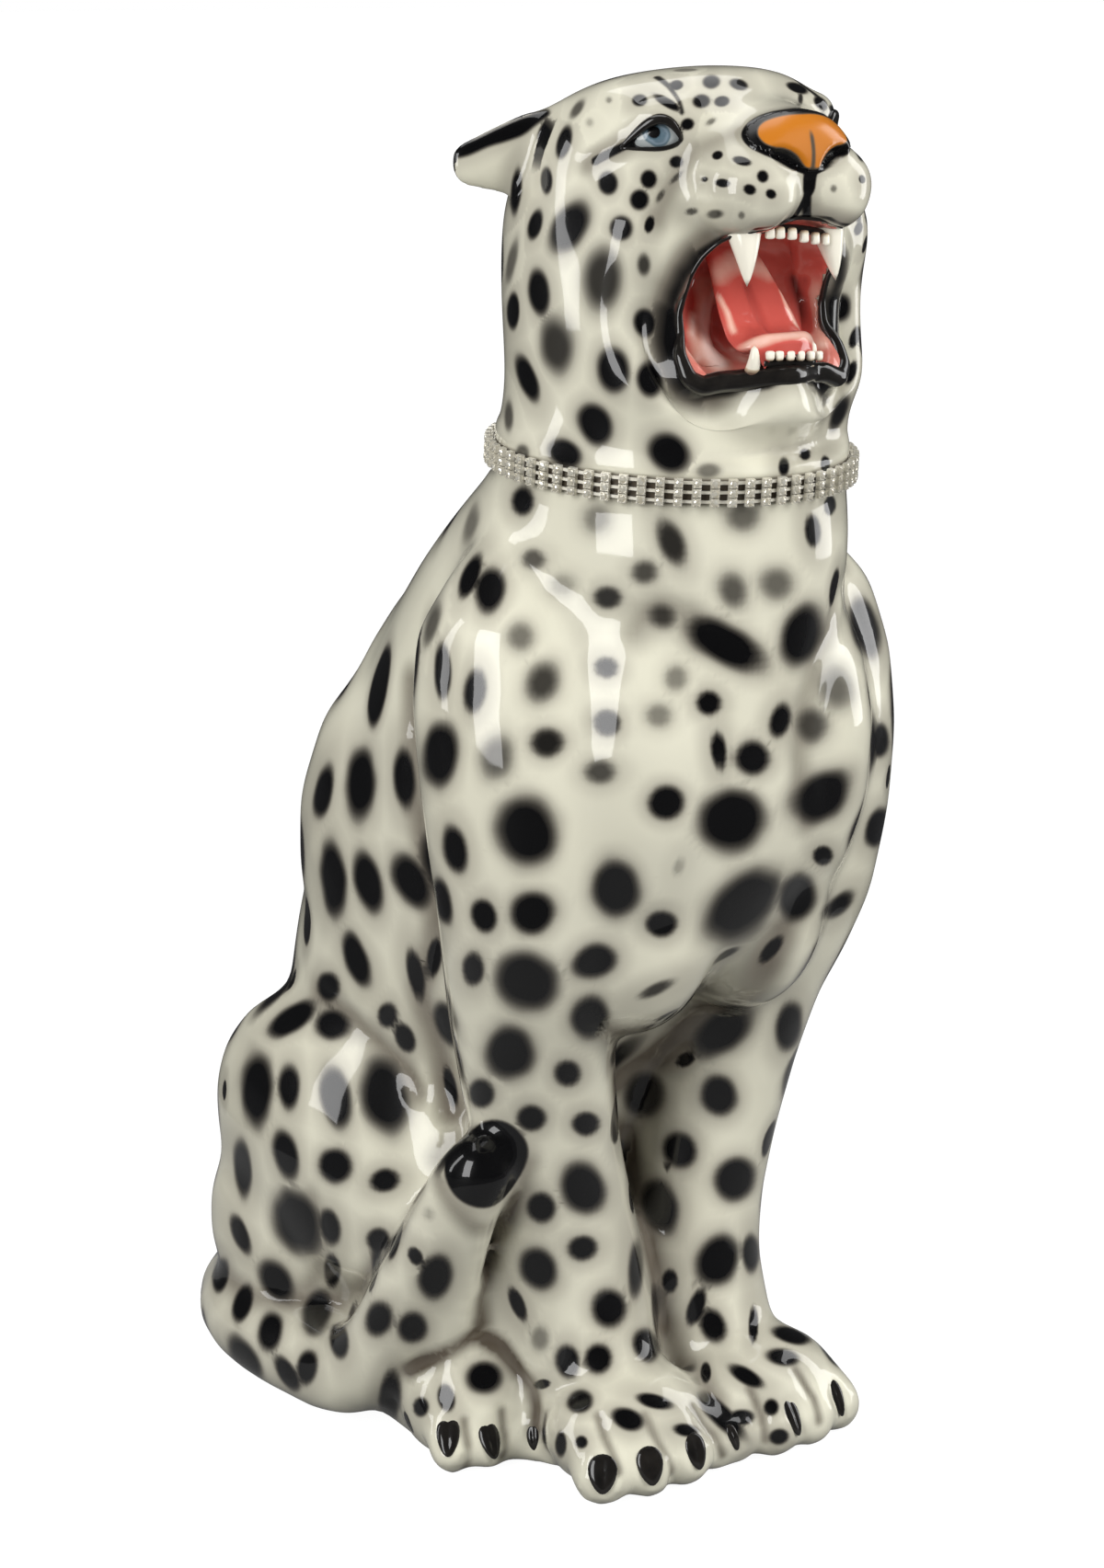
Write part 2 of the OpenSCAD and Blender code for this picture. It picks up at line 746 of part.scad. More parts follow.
module clasp_body() color(metal)
    difference() {
        flat_on_collar(clasp_t) difference() {
            union() {
                translate([-hook_x, 0]) circle(d = eye_d, $fn = pin_fn);
                translate([-hook_x, -shank_h / 2]) square([hook_x + hook_mid, shank_h]);
                translate([hook_mid, 0]) circle(r = hook_r, $fn = pin_fn);
                translate(pivot) circle(r = pivot_boss_r, $fn = pin_fn);
            }
            translate([-hook_x, 0]) circle(d = eye_hole_d, $fn = pin_fn);
            translate([hook_mid, 0]) circle(r = hook_hole_r, $fn = pin_fn);
            translate([gate_x, gate_low]) square([hook_mid - gate_x, hook_r * 2]);
            translate(pivot) circle(d = rivet_d, $fn = pin_fn);
        }
        flat_on_collar(slot_t) translate(slot_corner) square([hook_mid, hook_r * 2]);
    }

module clasp_lever() color(metal)
    flat_on_collar(lever_t) difference() {
        union() {
            translate(pivot) circle(d = lever_h, $fn = pin_fn);
            translate(pivot - [0, lever_low]) square([lever_l, lever_h / 2 + lever_low]);
            translate(thumb_at) square(thumb);
        }
        translate(pivot) circle(d = rivet_d + rivet_play, $fn = pin_fn);
    }

module clasp_rivet() color(metal)
    flat_on_collar(clasp_t) translate(pivot) circle(d = rivet_d - rivet_fit, $fn = pin_fn);

torso_shell();
head_shell();
right_foreleg();
left_foreleg();
right_hind_leg();
left_hind_leg();
tail();
right_ear();
left_ear();
right_eye();
left_eye();
nose_pad();
mouth_lining();
tongue();
upper_right_canine();
upper_left_canine();
lower_right_canine();
lower_left_canine();
upper_incisors();
lower_incisors();
collar_rows();
collar_settings();
collar_stones();
collar_end_bars();
collar_rings();
clasp_body();
clasp_lever();
clasp_rivet();
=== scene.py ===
"""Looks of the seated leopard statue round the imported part: glazed castings, painted face and crystal collar."""

import json
import math

import bmesh
import bpy
import numpy as np
from bpy.props import FloatProperty, FloatVectorProperty, IntProperty, PointerProperty
from mathutils import Matrix, Vector
from mathutils.bvhtree import BVHTree


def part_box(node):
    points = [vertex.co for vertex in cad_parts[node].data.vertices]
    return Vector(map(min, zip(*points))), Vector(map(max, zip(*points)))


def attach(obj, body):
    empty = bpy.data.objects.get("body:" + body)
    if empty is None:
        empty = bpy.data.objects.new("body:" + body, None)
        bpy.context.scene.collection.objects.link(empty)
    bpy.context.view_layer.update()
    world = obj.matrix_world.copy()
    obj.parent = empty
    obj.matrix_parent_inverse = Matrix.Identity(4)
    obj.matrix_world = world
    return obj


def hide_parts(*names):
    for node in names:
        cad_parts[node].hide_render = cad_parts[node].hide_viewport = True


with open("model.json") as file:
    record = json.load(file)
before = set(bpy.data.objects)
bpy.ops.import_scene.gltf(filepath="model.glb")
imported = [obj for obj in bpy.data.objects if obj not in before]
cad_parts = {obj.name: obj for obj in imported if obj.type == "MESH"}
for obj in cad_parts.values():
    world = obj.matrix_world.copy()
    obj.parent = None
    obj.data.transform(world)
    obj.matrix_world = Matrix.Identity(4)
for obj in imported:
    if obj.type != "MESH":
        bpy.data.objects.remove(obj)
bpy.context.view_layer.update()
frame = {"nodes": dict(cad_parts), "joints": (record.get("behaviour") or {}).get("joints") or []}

bl_info = {
    "name": "Leopard statue looks",
    "version": (1, 0, 0),
    "blender": (4, 5, 0),
    "location": "3D View > Sidebar > Statue",
    "description": "Builds the glazed castings, painted face and crystal collar of a seated leopard statue",
    "category": "Object",
}

MM = 0.001
MIRROR = np.array((-1, 1, 1))

# The photograph's camera, fitted to the collar, the paws and the outline.
PHOTO_W, PHOTO_H = 1200, 1705
PHOTO_FOCAL = 3755.0
SENSOR = 36.0
EYE_POINT = np.array((-0.8817, -1.2135, 0.640))
AIM_POINT = np.array((0.00607, -0.00441, 0.283))
LOOK = (AIM_POINT - EYE_POINT) / np.linalg.norm(AIM_POINT - EYE_POINT)
SIDEWAYS = np.cross(LOOK, (0, 0, 1)) / np.linalg.norm(np.cross(LOOK, (0, 0, 1)))
UPWARDS = np.cross(SIDEWAYS, LOOK)
# The width of a pixel on the animal, and a pixel in the middle of it.
PIXEL = 0.000384
INNER_PIXEL = (620, 800)

# The neck seam that the collar hides: its middle, its tilt, the neck's radius and the least radius that counts as neck,
# the heights between which its round band ends, and those between which the painted shade behind the collar ends,
# and how dark that painted shade is.
TURN = next(j for j in frame["joints"] if j["name"] == "collar_turn")
SEAM_AT = np.array(TURN["pos_m"])
SEAM_UP = np.array(TURN["axis"]) / np.linalg.norm(TURN["axis"])
NECK_R, NECK_LEAST = 0.0732, 60 * MM
NECK_BAND, NECK_SHADE, NECK_DARK = (7 * MM, 14 * MM), (4.0 * MM, 6.5 * MM), 0.85
# Plugs that close the hollows: the pouring hole's place, radius and depth, and the neck's gap and depth.
POUR_AT, POUR_R, POUR_DEEP = (0, 66 * MM, 6 * MM), 26 * MM, 8 * MM
PLUG_GAP, PLUG_DEEP = 2 * MM, 18 * MM
# Heights between which the rubbing of the body starts, and how high and how far back the finer paws reach.
FEET = (20 * MM, 75 * MM)
PAW_TOP, PAW_BACK = 44 * MM, -44 * MM
# Where the ears begin: distance from the middle, and height. Then where their backs turn black, and how squarely a
# point has to face back for it.
EAR_OUT, EAR_UP = (56 * MM, 66 * MM), (528 * MM, 546 * MM)
EAR_TIP, EAR_BEHIND = 78 * MM, 0.6

# Spots on the photograph, in pixels, read one by one: x, y, short axis, long axis, degrees that the top leans right,
# and ink where it isn't full.
# A lower ink is partly a fainter spot and partly painted highlight, for spots that lie under a reflection.
BODY_SPOTS = (
    (412, 745, 32, 90, 22), (352, 860, 18, 56, 12), (392, 853, 30, 74, 2), (440, 848, 22, 62, -3),
    (363, 955, 26, 78, -5), (400, 960, 28, 62, -14), (447, 958, 34, 56, -28), (334, 1001, 18, 56, -10),
    (388, 1044, 24, 58, -20), (318, 1066, 13, 26, 15), (357, 1073, 22, 30, 0), (452, 1060, 16, 56, -12),
    (421, 1104, 20, 26, 0), (440, 1128, 18, 30, -25), (470, 678, 14, 50, 18, .6), (512, 572, 14, 46, 15, .5),
    (511, 627, 17, 46, 22), (533, 642, 30, 46, 8), (481, 730, 16, 54, -2), (516, 752, 23, 44, 8),
    (479, 820, 34, 64, 5), (580, 608, 24, 20, 0, .6), (566, 692, 30, 32, 0, .5), (590, 742, 34, 44, 20, .7),
    (594, 808, 34, 30, 0, .85), (540, 822, 34, 44, 10, .6), (612, 636, 26, 22, 0, .35), (573, 905, 60, 72, -15),
    (495, 923, 24, 50, -14), (481, 980, 18, 50, -14), (526, 996, 24, 34, -20), (580, 993, 44, 42, -20),
    (514, 1054, 22, 34, 0), (472, 1042, 14, 40, 8), (573, 1066, 58, 62, -35), (485, 1113, 24, 48, -22),
    (490, 1183, 12, 44, -12),
    (568, 545, 24, 32, 0), (648, 564, 30, 30, 0, .45), (730, 590, 26, 50, -25, .8), (701, 622, 28, 24, 0, .65),
    (661, 650, 28, 22, 0, .8), (659, 726, 26, 22, 0, .9), (660, 786, 26, 26, 0, .9), (735, 737, 24, 26, 0, .45),
    (716, 778, 26, 24, 0, .45), (720, 670, 34, 28, 0, .7), (788, 700, 40, 90, -60), (797, 643, 30, 38, -20, .6),
    (808, 562, 34, 32, 0, .55), (770, 764, 26, 26, -30), (781, 816, 18, 42, -8), (652, 839, 34, 24, 0, .65),
    (669, 965, 46, 56, -5), (724, 873, 36, 34, 0), (719, 1005, 26, 32, 80), (646, 1045, 34, 46, 70),
    (738, 942, 10, 18, 20, .3), (712, 1076, 12, 40, 65, .7), (795, 893, 66, 60, 0), (806, 985, 56, 90, 48),
    (788, 1038, 20, 30, 80, .85), (838, 1033, 14, 36, 40), (727, 1105, 14, 34, 80, .8),
    (883, 577, 16, 34, -5), (902, 549, 12, 20, 0), (907, 638, 18, 38, 0), (844, 635, 36, 34, 0, .55),
    (871, 690, 40, 62, 20), (941, 683, 28, 62, -15), (908, 748, 38, 46, 0, .55), (945, 754, 18, 36, 0),
    (848, 783, 22, 38, 15), (882, 788, 34, 36, 0, .65), (956, 806, 20, 34, 5), (818, 824, 36, 34, 0),
    (893, 865, 44, 66, 55), (953, 900, 22, 38, 18), (969, 845, 8, 28, 0), (894, 930, 20, 20, 0),
    (866, 976, 38, 50, 15), (912, 984, 18, 40, 50, .9),
    (641, 1106, 38, 44, 15), (553, 1144, 48, 52, -30), (617, 1167, 28, 28, 0), (523, 1190, 26, 28, 0),
    (577, 1216, 30, 26, 0), (637, 1222, 28, 24, 0), (634, 1293, 44, 54, -25), (588, 1313, 28, 32, 0),
    (633, 1357, 26, 32, 85), (585, 1379, 36, 42, -25), (563, 1419, 14, 38, -22), (662, 1422, 34, 38, 0),
    (691, 1380, 16, 58, 2, .85), (703, 1463, 26, 36, -15), (587, 1455, 18, 26, 0, .45), (617, 1480, 24, 34, 0),
    (650, 1478, 28, 30, 0), (670, 1215, 10, 60, -10, .7), (686, 1303, 10, 34, -10, .8),
    (785, 1122, 40, 70, 55), (745, 1152, 14, 24, 60), (700, 1190, 40, 44, 0), (781, 1191, 36, 42, -5),
    (857, 1117, 26, 50, 8), (739, 1250, 34, 36, 0), (836, 1238, 18, 42, 15), (800, 1281, 40, 44, 25),
    (717, 1310, 36, 56, -15), (780, 1370, 40, 54, 20), (816, 1362, 18, 40, 0), (728, 1393, 16, 24, 0),
    (757, 1421, 16, 40, 20), (775, 1441, 26, 34, -20), (819, 1440, 10, 36, 0),
    (317, 1108, 24, 56, 58), (362, 1114, 36, 30, 0), (279, 1183, 32, 74, 0), (314, 1182, 22, 46, 0),
    (244, 1185, 9, 24, 0), (364, 1192, 30, 62, -12), (418, 1192, 46, 74, -12), (311, 1256, 24, 48, -15),
    (364, 1268, 34, 34, 0), (417, 1284, 24, 32, 80), (264, 1272, 18, 58, -5), (323, 1328, 44, 64, -25),
    (359, 1335, 20, 38, -15), (262, 1343, 16, 44, -22), (411, 1348, 24, 24, 0), (432, 1341, 18, 56, 18),
    (361, 1383, 16, 34, 0), (407, 1389, 12, 32, 8),
    (240, 1386, 16, 34, 10), (264, 1416, 18, 40, 15), (300, 1393, 30, 50, -35), (294, 1447, 24, 40, 8),
    (345, 1427, 28, 46, 15), (369, 1458, 18, 34, -8), (383, 1427, 6, 26, 20, .6), (412, 1434, 28, 38, 20),
    (448, 1443, 30, 32, 0), (266, 1478, 24, 56, -28), (312, 1494, 18, 40, -30), (334, 1487, 20, 36, 5),
    (466, 1320, 12, 14, -20, .3), (452, 1366, 14, 20, -30), (474, 1388, 32, 46, 10),
    (424, 1517, 22, 52, 4), (457, 1530, 16, 20, 0), (485, 1520, 16, 26, -10), (526, 1497, 36, 32, 0),
    (438, 1570, 8, 26, -25),
    (590, 1505, 10, 18, 80), (630, 1524, 22, 26, 80), (682, 1543, 20, 32, -70), (712, 1524, 14, 38, -75),
    (610, 1570, 12, 26, 0), (632, 1568, 14, 14, 0), (745, 1555, 14, 26, -80), (785, 1540, 20, 60, -45),
    (860, 1452, 16, 40, -75), (851, 1476, 18, 34, -80), (909, 1474, 14, 26, -60), (812, 1497, 16, 40, -60),
    (767, 1492, 10, 20, 0), (806, 1541, 16, 26, 85), (838, 1530, 16, 18, 0), (847, 1562, 16, 20, 80),
)
HEAD_SPOTS = (
    (613, 155, 14, 34, 15), (592, 143, 12, 26, 22, .9), (628, 118, 10, 24, 35, .6), (662, 109, 8, 8, 0, .4),
    (641, 133, 9, 10, 0, .3), (695, 109, 12, 16, 85), (726, 112, 10, 34, -60), (735, 93, 10, 14, 80),
    (747, 135, 12, 14, 70), (735, 176, 12, 14, 80), (661, 199, 18, 22, 0), (705, 195, 16, 18, 0),
    (695, 217, 18, 20, 10), (675, 248, 22, 24, 0), (706, 244, 10, 18, 15), (700, 288, 14, 24, 0, .7),
    (619, 247, 34, 56, 30), (582, 244, 14, 32, 15), (594, 196, 12, 28, 0), (561, 208, 12, 50, 5),
    (556, 284, 10, 50, 12, .55), (586, 317, 20, 46, -5), (655, 303, 38, 64, 0, .75), (735, 193, 5, 16, 45, .6),
    (718, 213, 6, 14, 30, .6), (558, 338, 12, 34, 0), (605, 375, 34, 56, -5, .75), (701, 351, 22, 28, -10),
    (574, 412, 18, 50, -20), (667, 402, 32, 46, -5), (706, 412, 26, 36, -5), (647, 462, 32, 44, -25),
    (614, 492, 26, 36, -60), (553, 453, 10, 34, 0, .6), (567, 492, 14, 16, 0, .6), (726, 492, 38, 46, -55),
    (770, 512, 14, 24, 85, .5), (852, 508, 12, 20, 0), (875, 494, 12, 12, 0), (897, 505, 10, 18, 0),
    (773, 89, 14, 18, 85), (803, 92, 12, 20, -75), (762, 110, 14, 18, 85), (785, 110, 11, 16, 80),
    (773, 132, 5, 10, 60, .5), (866, 96, 9, 22, -70), (870, 107, 5, 14, 0, .8), (892, 112, 10, 16, -45),
    (909, 122, 8, 18, -45), (745, 76, 6, 24, 85, .4),
    (780, 169, 9, 12, 70), (806, 175, 9, 20, -75), (829, 192, 12, 13, -20), (766, 195, 6, 8, 80),
    (785, 199, 9, 16, -85), (815, 206, 11, 14, -70), (838, 211, 10, 12, -60), (777, 233, 10, 18, 85, .7),
    (752, 230, 8, 14, 80, .6), (806, 234, 6, 7, 0, .5),
    (906, 205, 7, 8, 0, .5), (937, 195, 6, 8, -20), (948, 223, 8, 8, 0, .6), (933, 249, 7, 12, 20),
    (947, 255, 6, 18, 15), (929, 367, 10, 24, 20), (925, 405, 10, 26, 20), (950, 315, 10, 40, 0, .7),
    (912, 450, 14, 40, 25, .9),
)
# Two pixels of the tail's black tip, its radius in millimetres, and the height below which nothing belongs to it.
TAIL_TIP, TIP_R, TIP_ABOVE = ((540, 1246), (520, 1285)), 19, 100 * MM
# Spots that face the photograph less squarely than this are laid in the surface instead of being projected on it.
GRAZING = 0.3
# Spots on the sides that the photograph hides, as spacing and half width: on the paws, the forelegs, the rest of the
# body, and the head. Then how high the paws reach, how far back and how high the forelegs, and where the spots of body
# and head begin.
PAW_SPOTS, LEG_SPOTS = (17 * MM, 4 * MM), (26 * MM, 7 * MM)
BACK_SPOTS, NAPE_SPOTS = (31 * MM, 7 * MM), (27 * MM, 6 * MM)
PAWS_HIGH, LEGS_BACK, LEGS_HIGH = 45 * MM, -60 * MM, 230 * MM
SPOTS_FROM, NAPE_FROM = 12 * MM, -110 * MM
# A painted edge where nothing is painted, in millimetres.
OUTSIDE = -20.0

# Folds of the clay: depth and reach in millimetres, then the photograph's pixels that the fold runs through.
BODY_FOLDS = (
    (3.0, 9, ((447, 740), (449, 800), (450, 870), (455, 890), (463, 940), (470, 970), (473, 1000), (472, 1030),
              (464, 1050), (458, 1075), (462, 1100), (470, 1120), (478, 1145), (484, 1180), (490, 1210))),
    (2.5, 7, ((345, 1080), (380, 1102), (410, 1130), (440, 1160), (455, 1190))),
    (0.8, 8, ((492, 1240), (478, 1260), (460, 1290), (445, 1315), (430, 1350), (410, 1375), (390, 1400),
              (360, 1416), (320, 1415), (270, 1410), (245, 1385))),
    (0.8, 8, ((340, 1300), (350, 1340), (350, 1375), (335, 1400), (310, 1412))),
    (2.0, 7, ((905, 680), (885, 720), (872, 770), (867, 820), (870, 860), (878, 890))),
    (1.6, 6, ((690, 690), (700, 668), (720, 660), (745, 668), (760, 690))),
    (2.0, 7, ((440, 1492), (480, 1474), (512, 1453), (530, 1458), (560, 1488), (580, 1510), (584, 1535), (583, 1555))),
)
# The crease between tail and haunch, which is first rubbed round.
TAIL_CREASE = BODY_FOLDS[2][2][4:]
# Rolls of clay: between the tail, the right foreleg and the hind paw, and from the tail's root into the rump.
# x, y, z and radius in millimetres.
LIMB_CLAY = (
    ((-57, -70, 120, 11), (-56, -66, 104, 12), (-54, -58, 84, 12.5), (-51, -54, 62, 13), (-51, -56, 40, 13)),
    ((-89, -80, 126, 10), (-86, -71.5, 112, 11), (-84, -60, 93, 11.5), (-80, -51, 72, 12), (-76, -46, 55, 12)),
    ((-80, -46, 46, 11), (-66, -50, 49, 11), (-56, -56, 42, 11)),
    ((24, 151, 24, 22), (40, 141, 26, 22), (53, 125, 31, 20), (58, 106, 38, 16)),
)
# Grooves between the toes, in pixels.
TOE_GROOVES = (
    ((545, 1535), (548, 1560), (545, 1592)), ((504, 1545), (508, 1570), (506, 1595)),
    ((650, 1540), (656, 1560), (672, 1600)), ((700, 1540), (716, 1570), (730, 1600)),
    ((752, 1530), (775, 1560), (785, 1582)),
    ((865, 1490), (884, 1520), (890, 1545)), ((815, 1510), (828, 1540), (832, 1565)),
)
# Painted shade along folds and creases: strength, reach in millimetres, pixels.
SHADES = (
    *((*spray, fold[2]) for spray, fold in zip(
        ((0.6, 13), (0.55, 12), (0.55, 11), (0.4, 10), (0.45, 12), (0.35, 12)), BODY_FOLDS)),
    (0.7, 16, ((676, 1171), (734, 1137), (792, 1098), (838, 1040), (850, 1010))),
    (0.6, 12, ((672, 1120), (667, 1160), (670, 1200), (679, 1240), (690, 1280), (700, 1320), (704, 1360), (716, 1420),
               (739, 1480), (774, 1520))),
    (0.75, 9, ((560, 1300), (552, 1325), (538, 1352), (528, 1380), (523, 1410), (522, 1440))),
    (0.8, 8, ((445, 1488), (480, 1474), (515, 1450), (545, 1466), (566, 1492), (580, 1508), (584, 1530), (583, 1552))),
    (0.5, 10, ((480, 1290), (492, 1312), (516, 1334), (548, 1318), (566, 1296), (572, 1266))),
)
# Claws, given as the spots are, and the pixel left of which they belong to the hind paw.
CLAWS = (
    (487, 1562, 26, 48, 0), (533, 1566, 24, 44, -12), (580, 1563, 18, 30, -5),
    (655, 1603, 32, 44, 0), (707, 1594, 30, 44, -8), (757, 1578, 26, 42, -12), (797, 1563, 14, 32, -20),
    (862, 1540, 22, 46, -15), (910, 1520, 16, 44, -15),
)
HIND_PAW = 600

# The face's ridges and hollows, as the body's folds; a negative depth is a ridge.
HEAD_FOLDS = (
    (-2.0, 8, ((655, 166), (672, 143), (690, 124), (716, 113), (740, 118))),
    (-1.5, 7, ((640, 176), (655, 166), (672, 162))),
    (1.1, 12, ((757, 166), (745, 186), (728, 208), (713, 240), (706, 268))),
    (3.4, 8, ((878, 190), (877, 208), (876, 228))),
    (1.2, 8, ((800, 148), (806, 160), (822, 168), (842, 178), (866, 190))),
    (1.2, 10, ((745, 128), (765, 138), (790, 132), (805, 124))),
    (-4.5, 34, ((712, 285), (704, 325), (704, 365), (712, 400))),
    (7.0, 32, ((776, 450), (800, 470), (836, 492), (865, 497), (893, 490), (912, 470))),
)
# Painted lines of the face: width and softness in millimetres, ink, pixels.
FACE_LINES = (
    (2.6, 0.8, 1.0, ((680, 158), (662, 167), (647, 175))),
    (2.2, 0.9, 0.85, ((714, 84), (728, 95), (738, 110), (741, 122))),
    (3.6, 0.7, 1.0, ((879, 184), (877, 205), (876, 236))),
    (1.6, 0.7, 1.0, ((876, 236), (850, 241), (822, 249), (800, 256))),
    (3.0, 1.6, 0.9, ((800, 256), (780, 263), (762, 275), (748, 291))),
    (7.0, 5.5, 1.0, ((756, 284), (744, 298), (734, 318), (729, 340))),
    (11.0, 6.0, 1.0, ((729, 340), (729, 365), (734, 390), (746, 412), (765, 424))),
    (11.0, 2.6, 1.0, ((765, 424), (785, 417), (806, 407))),
    (8.0, 1.8, 1.0, ((806, 406), (836, 407), (872, 408), (900, 408))),
)
# Painted shade of the face, as the body's.
FACE_SHADES = (
    (0.12, 9, ((788, 458), (812, 476), (838, 490), (868, 494), (893, 487), (912, 466))),
    (0.8, 13, ((770, 262), (748, 284), (730, 312), (722, 345), (722, 375), (730, 405), (752, 428), (775, 432))),
    (0.5, 8, ((757, 160), (742, 182), (727, 206), (713, 238))),
    (0.45, 9, ((800, 145), (785, 150), (765, 158), (752, 170))),
    (0.45, 9, ((640, 178), (655, 168), (672, 160))),
    (0.2, 6, ((806, 412), (840, 417), (875, 417), (905, 412))),
)
# Shapes on the near half of the face: the eye's black and its opening, the nose's black, its orange, a nostril, and the
# ear's black. Some are pressed in, with depth and softness in millimetres, and some painted black, with softness.
EYE_BLACK = ((670, 162), (682, 151), (693, 138), (705, 127), (720, 122), (735, 130), (742, 146), (742, 154), (734, 161),
             (716, 165), (692, 162))
EYE_OPEN = ((686, 157), (697, 148), (707, 139), (716, 135), (727, 136), (735, 141), (739, 152), (732, 158), (715, 161),
            (699, 160))
NOSE_BLACK = ((804, 147), (811, 134), (826, 125), (848, 119), (880, 117), (900, 119), (900, 196), (876, 190),
              (860, 184), (844, 174), (828, 167), (812, 159))
NOSE_ORANGE = ((822, 145), (826, 134), (842, 127), (866, 123), (905, 125), (905, 190), (878, 184), (872, 178),
               (866, 168), (856, 163), (840, 160), (829, 155))
NOSTRIL = ((836, 162), (848, 160), (860, 164), (868, 171), (873, 183), (866, 184), (850, 177), (840, 169))
EAR_BLACK = ((494, 172), (498, 160), (520, 149), (545, 138), (566, 129), (594, 118), (598, 124), (586, 133), (570, 146),
             (552, 153), (532, 158), (510, 168))
PRESSED = ((EYE_OPEN, 3.6, 0.6), (NOSTRIL, 4.0, 1.6), (NOSE_BLACK, -1.0, 1.5))
BLACKED = ((EYE_BLACK, 0.5), (NOSE_BLACK, 0.6), (EAR_BLACK, 1.4))
# The eye: pixels of its middle, corners, iris and pupil, its half sizes, how deep it is sunk, and its lids, as pixels
# and radii in millimetres.
EYE_MIDDLE, EYE_INNER, EYE_OUTER, IRIS_MIDDLE, PUPIL_MIDDLE = (713, 149), (738, 152), (680, 158), (716, 147), (711, 144)
EYE_HALF, EYE_SUNK = (11.5 * MM, 6.2 * MM, 5.2 * MM), 5.2 * MM
EYE_LIDS = (
    (((674, 161), (690, 145), (704, 133), (719, 128), (733, 134), (741, 152)), (0.5, 1.5, 2.0, 2.0, 1.6, 0.7)),
    (((674, 161), (696, 162), (715, 163), (732, 160), (741, 152)), (0.5, 0.9, 0.9, 0.9, 0.6)),
)
# The hollow of the CAD mouth: its middle, its half sizes and the slack round it. Then how wide the lips wall it off,
# and the thickness of the layers on the head casting, which are the nose and the mouth's lining.
MOUTH_AT, MOUTH_HALF = np.array((0, -0.159, 0.513)), np.array((0.049, 0.037, 0.032))
MOUTH_SLACK, LIP_WALL, LAYER = 2.5 * MM, 3.0 * MM, 0.4 * MM
# The lips from the middle of the upper one, round the near corner, to the middle of the lower: pixels, radius, and how
# far back they lie, in millimetres. The lower canines stand on two of them.
LIPS = (
    (876, 237, 0.7, 0), (850, 242, 0.7, 0), (822, 250, 0.7, 0), (800, 257, 0.7, 2), (780, 265, 0.8, 5),
    (762, 277, 0.9, 9), (748, 293, 1.0, 13), (739, 315, 1.2, 16), (734, 340, 1.5, 17), (733, 365, 2.0, 17),
    (738, 390, 2.8, 17), (748, 412, 3.6, 17), (765, 423, 4.2, 16), (785, 415, 4.4, 12), (806, 406, 4.4, 7),
    (836, 405, 4.4, 3), (872, 406, 4.4, 0),
)
CANINE_LIPS = slice(14, 16)
# Black gums behind the incisors: pixels, radius in millimetres.
GUMS = (
    ((822, 251, 1.4), (840, 248, 1.8), (866, 248, 1.8), (890, 252, 1.8), (904, 257, 1.4)),
    ((829, 395, 1.6), (842, 394, 2.2), (866, 394, 2.2), (884, 393, 1.6)),
)
# The tongue along its middle, from its front roll to the throat: y and z in millimetres, half width.
TONGUE = ((-173, 489, 11), (-172.5, 495, 14.5), (-168, 498.5, 17.5), (-161, 497, 19.5), (-155, 499.5, 20),
          (-149, 507.5, 19), (-143, 516, 17), (-137, 525, 14.5), (-128, 534, 12))
# Strokes in the mouth: lightness of the flesh, width, softness and height of the ridge in millimetres, pixels.
# Some only vary the flesh's colour; the pale ones along ridges and crests are painted highlights, and the dark ones
# along creases and seams painted shade.
FLESH = (
    (0.60, 14, 6, 0, ((832, 278), (860, 274), (885, 282))),
    (0.64, 12, 6, 0, ((850, 305), (858, 332), (862, 356))),
    (0.30, 2.0, 2, -0.8, ((812, 308), (820, 325), (829, 345), (838, 362))),
    (0.58, 10, 5, 0, ((800, 320), (812, 342), (822, 360))),
    (0.36, 2.5, 2, 0, ((875, 305), (877, 330), (881, 358))),
    (0.82, 7, 4, 0, ((886, 320), (890, 345), (893, 368))),
    (0.92, 1.6, 1.6, 0, ((781, 322), (791, 340), (797, 360), (796, 380))),
    (1.00, 9, 3, 3.0, ((770, 312), (762, 345), (766, 380), (780, 398))),
    (0.45, 1.4, 1.4, -0.7, ((774, 334), (771, 352), (774, 376), (783, 394))),
    (1.00, 3.0, 2, 0.5, ((752, 345), (751, 364), (757, 390))),
    (0.14, 2.5, 3, 0, ((738, 312), (734, 340), (736, 370), (746, 402), (775, 414))),
    (0.12, 4, 4, 0, ((896, 320), (899, 350), (900, 376))),
    (0.86, 9, 5, 0, ((798, 284), (780, 298), (764, 314))),
    (0.92, 4.0, 2, 0, ((808, 390), (822, 373), (846, 366), (880, 367), (894, 374))),
)
# Canines: piece, node, pixels of root and tip, width in millimetres, how blunt, and how far back root and tip lie in
# millimetres: the upper ones behind the CAD canine, the lower ones behind the lip.
CANINES = (
    ("upper_canines", "upper_right_canine", (805, 230), (812, 312), 18.0, 0.8, 5, 5),
    ("lower_canines", "lower_right_canine", (816, 406), (820, 376), 6.2, 0.36, -1, -7),
)
# Incisors: node, width, height and thickness in millimetres, pixels of each tooth's middle.
INCISORS = (
    ("upper_incisors", (3.6, 5.0, 3.0), ((837, 253), (848, 253), (861, 254), (874, 257), (886, 259), (897, 260))),
    ("lower_incisors", (3.4, 4.0, 3.0), ((837, 387), (847, 387), (859, 387), (870, 387), (881, 387), (890, 387))),
)
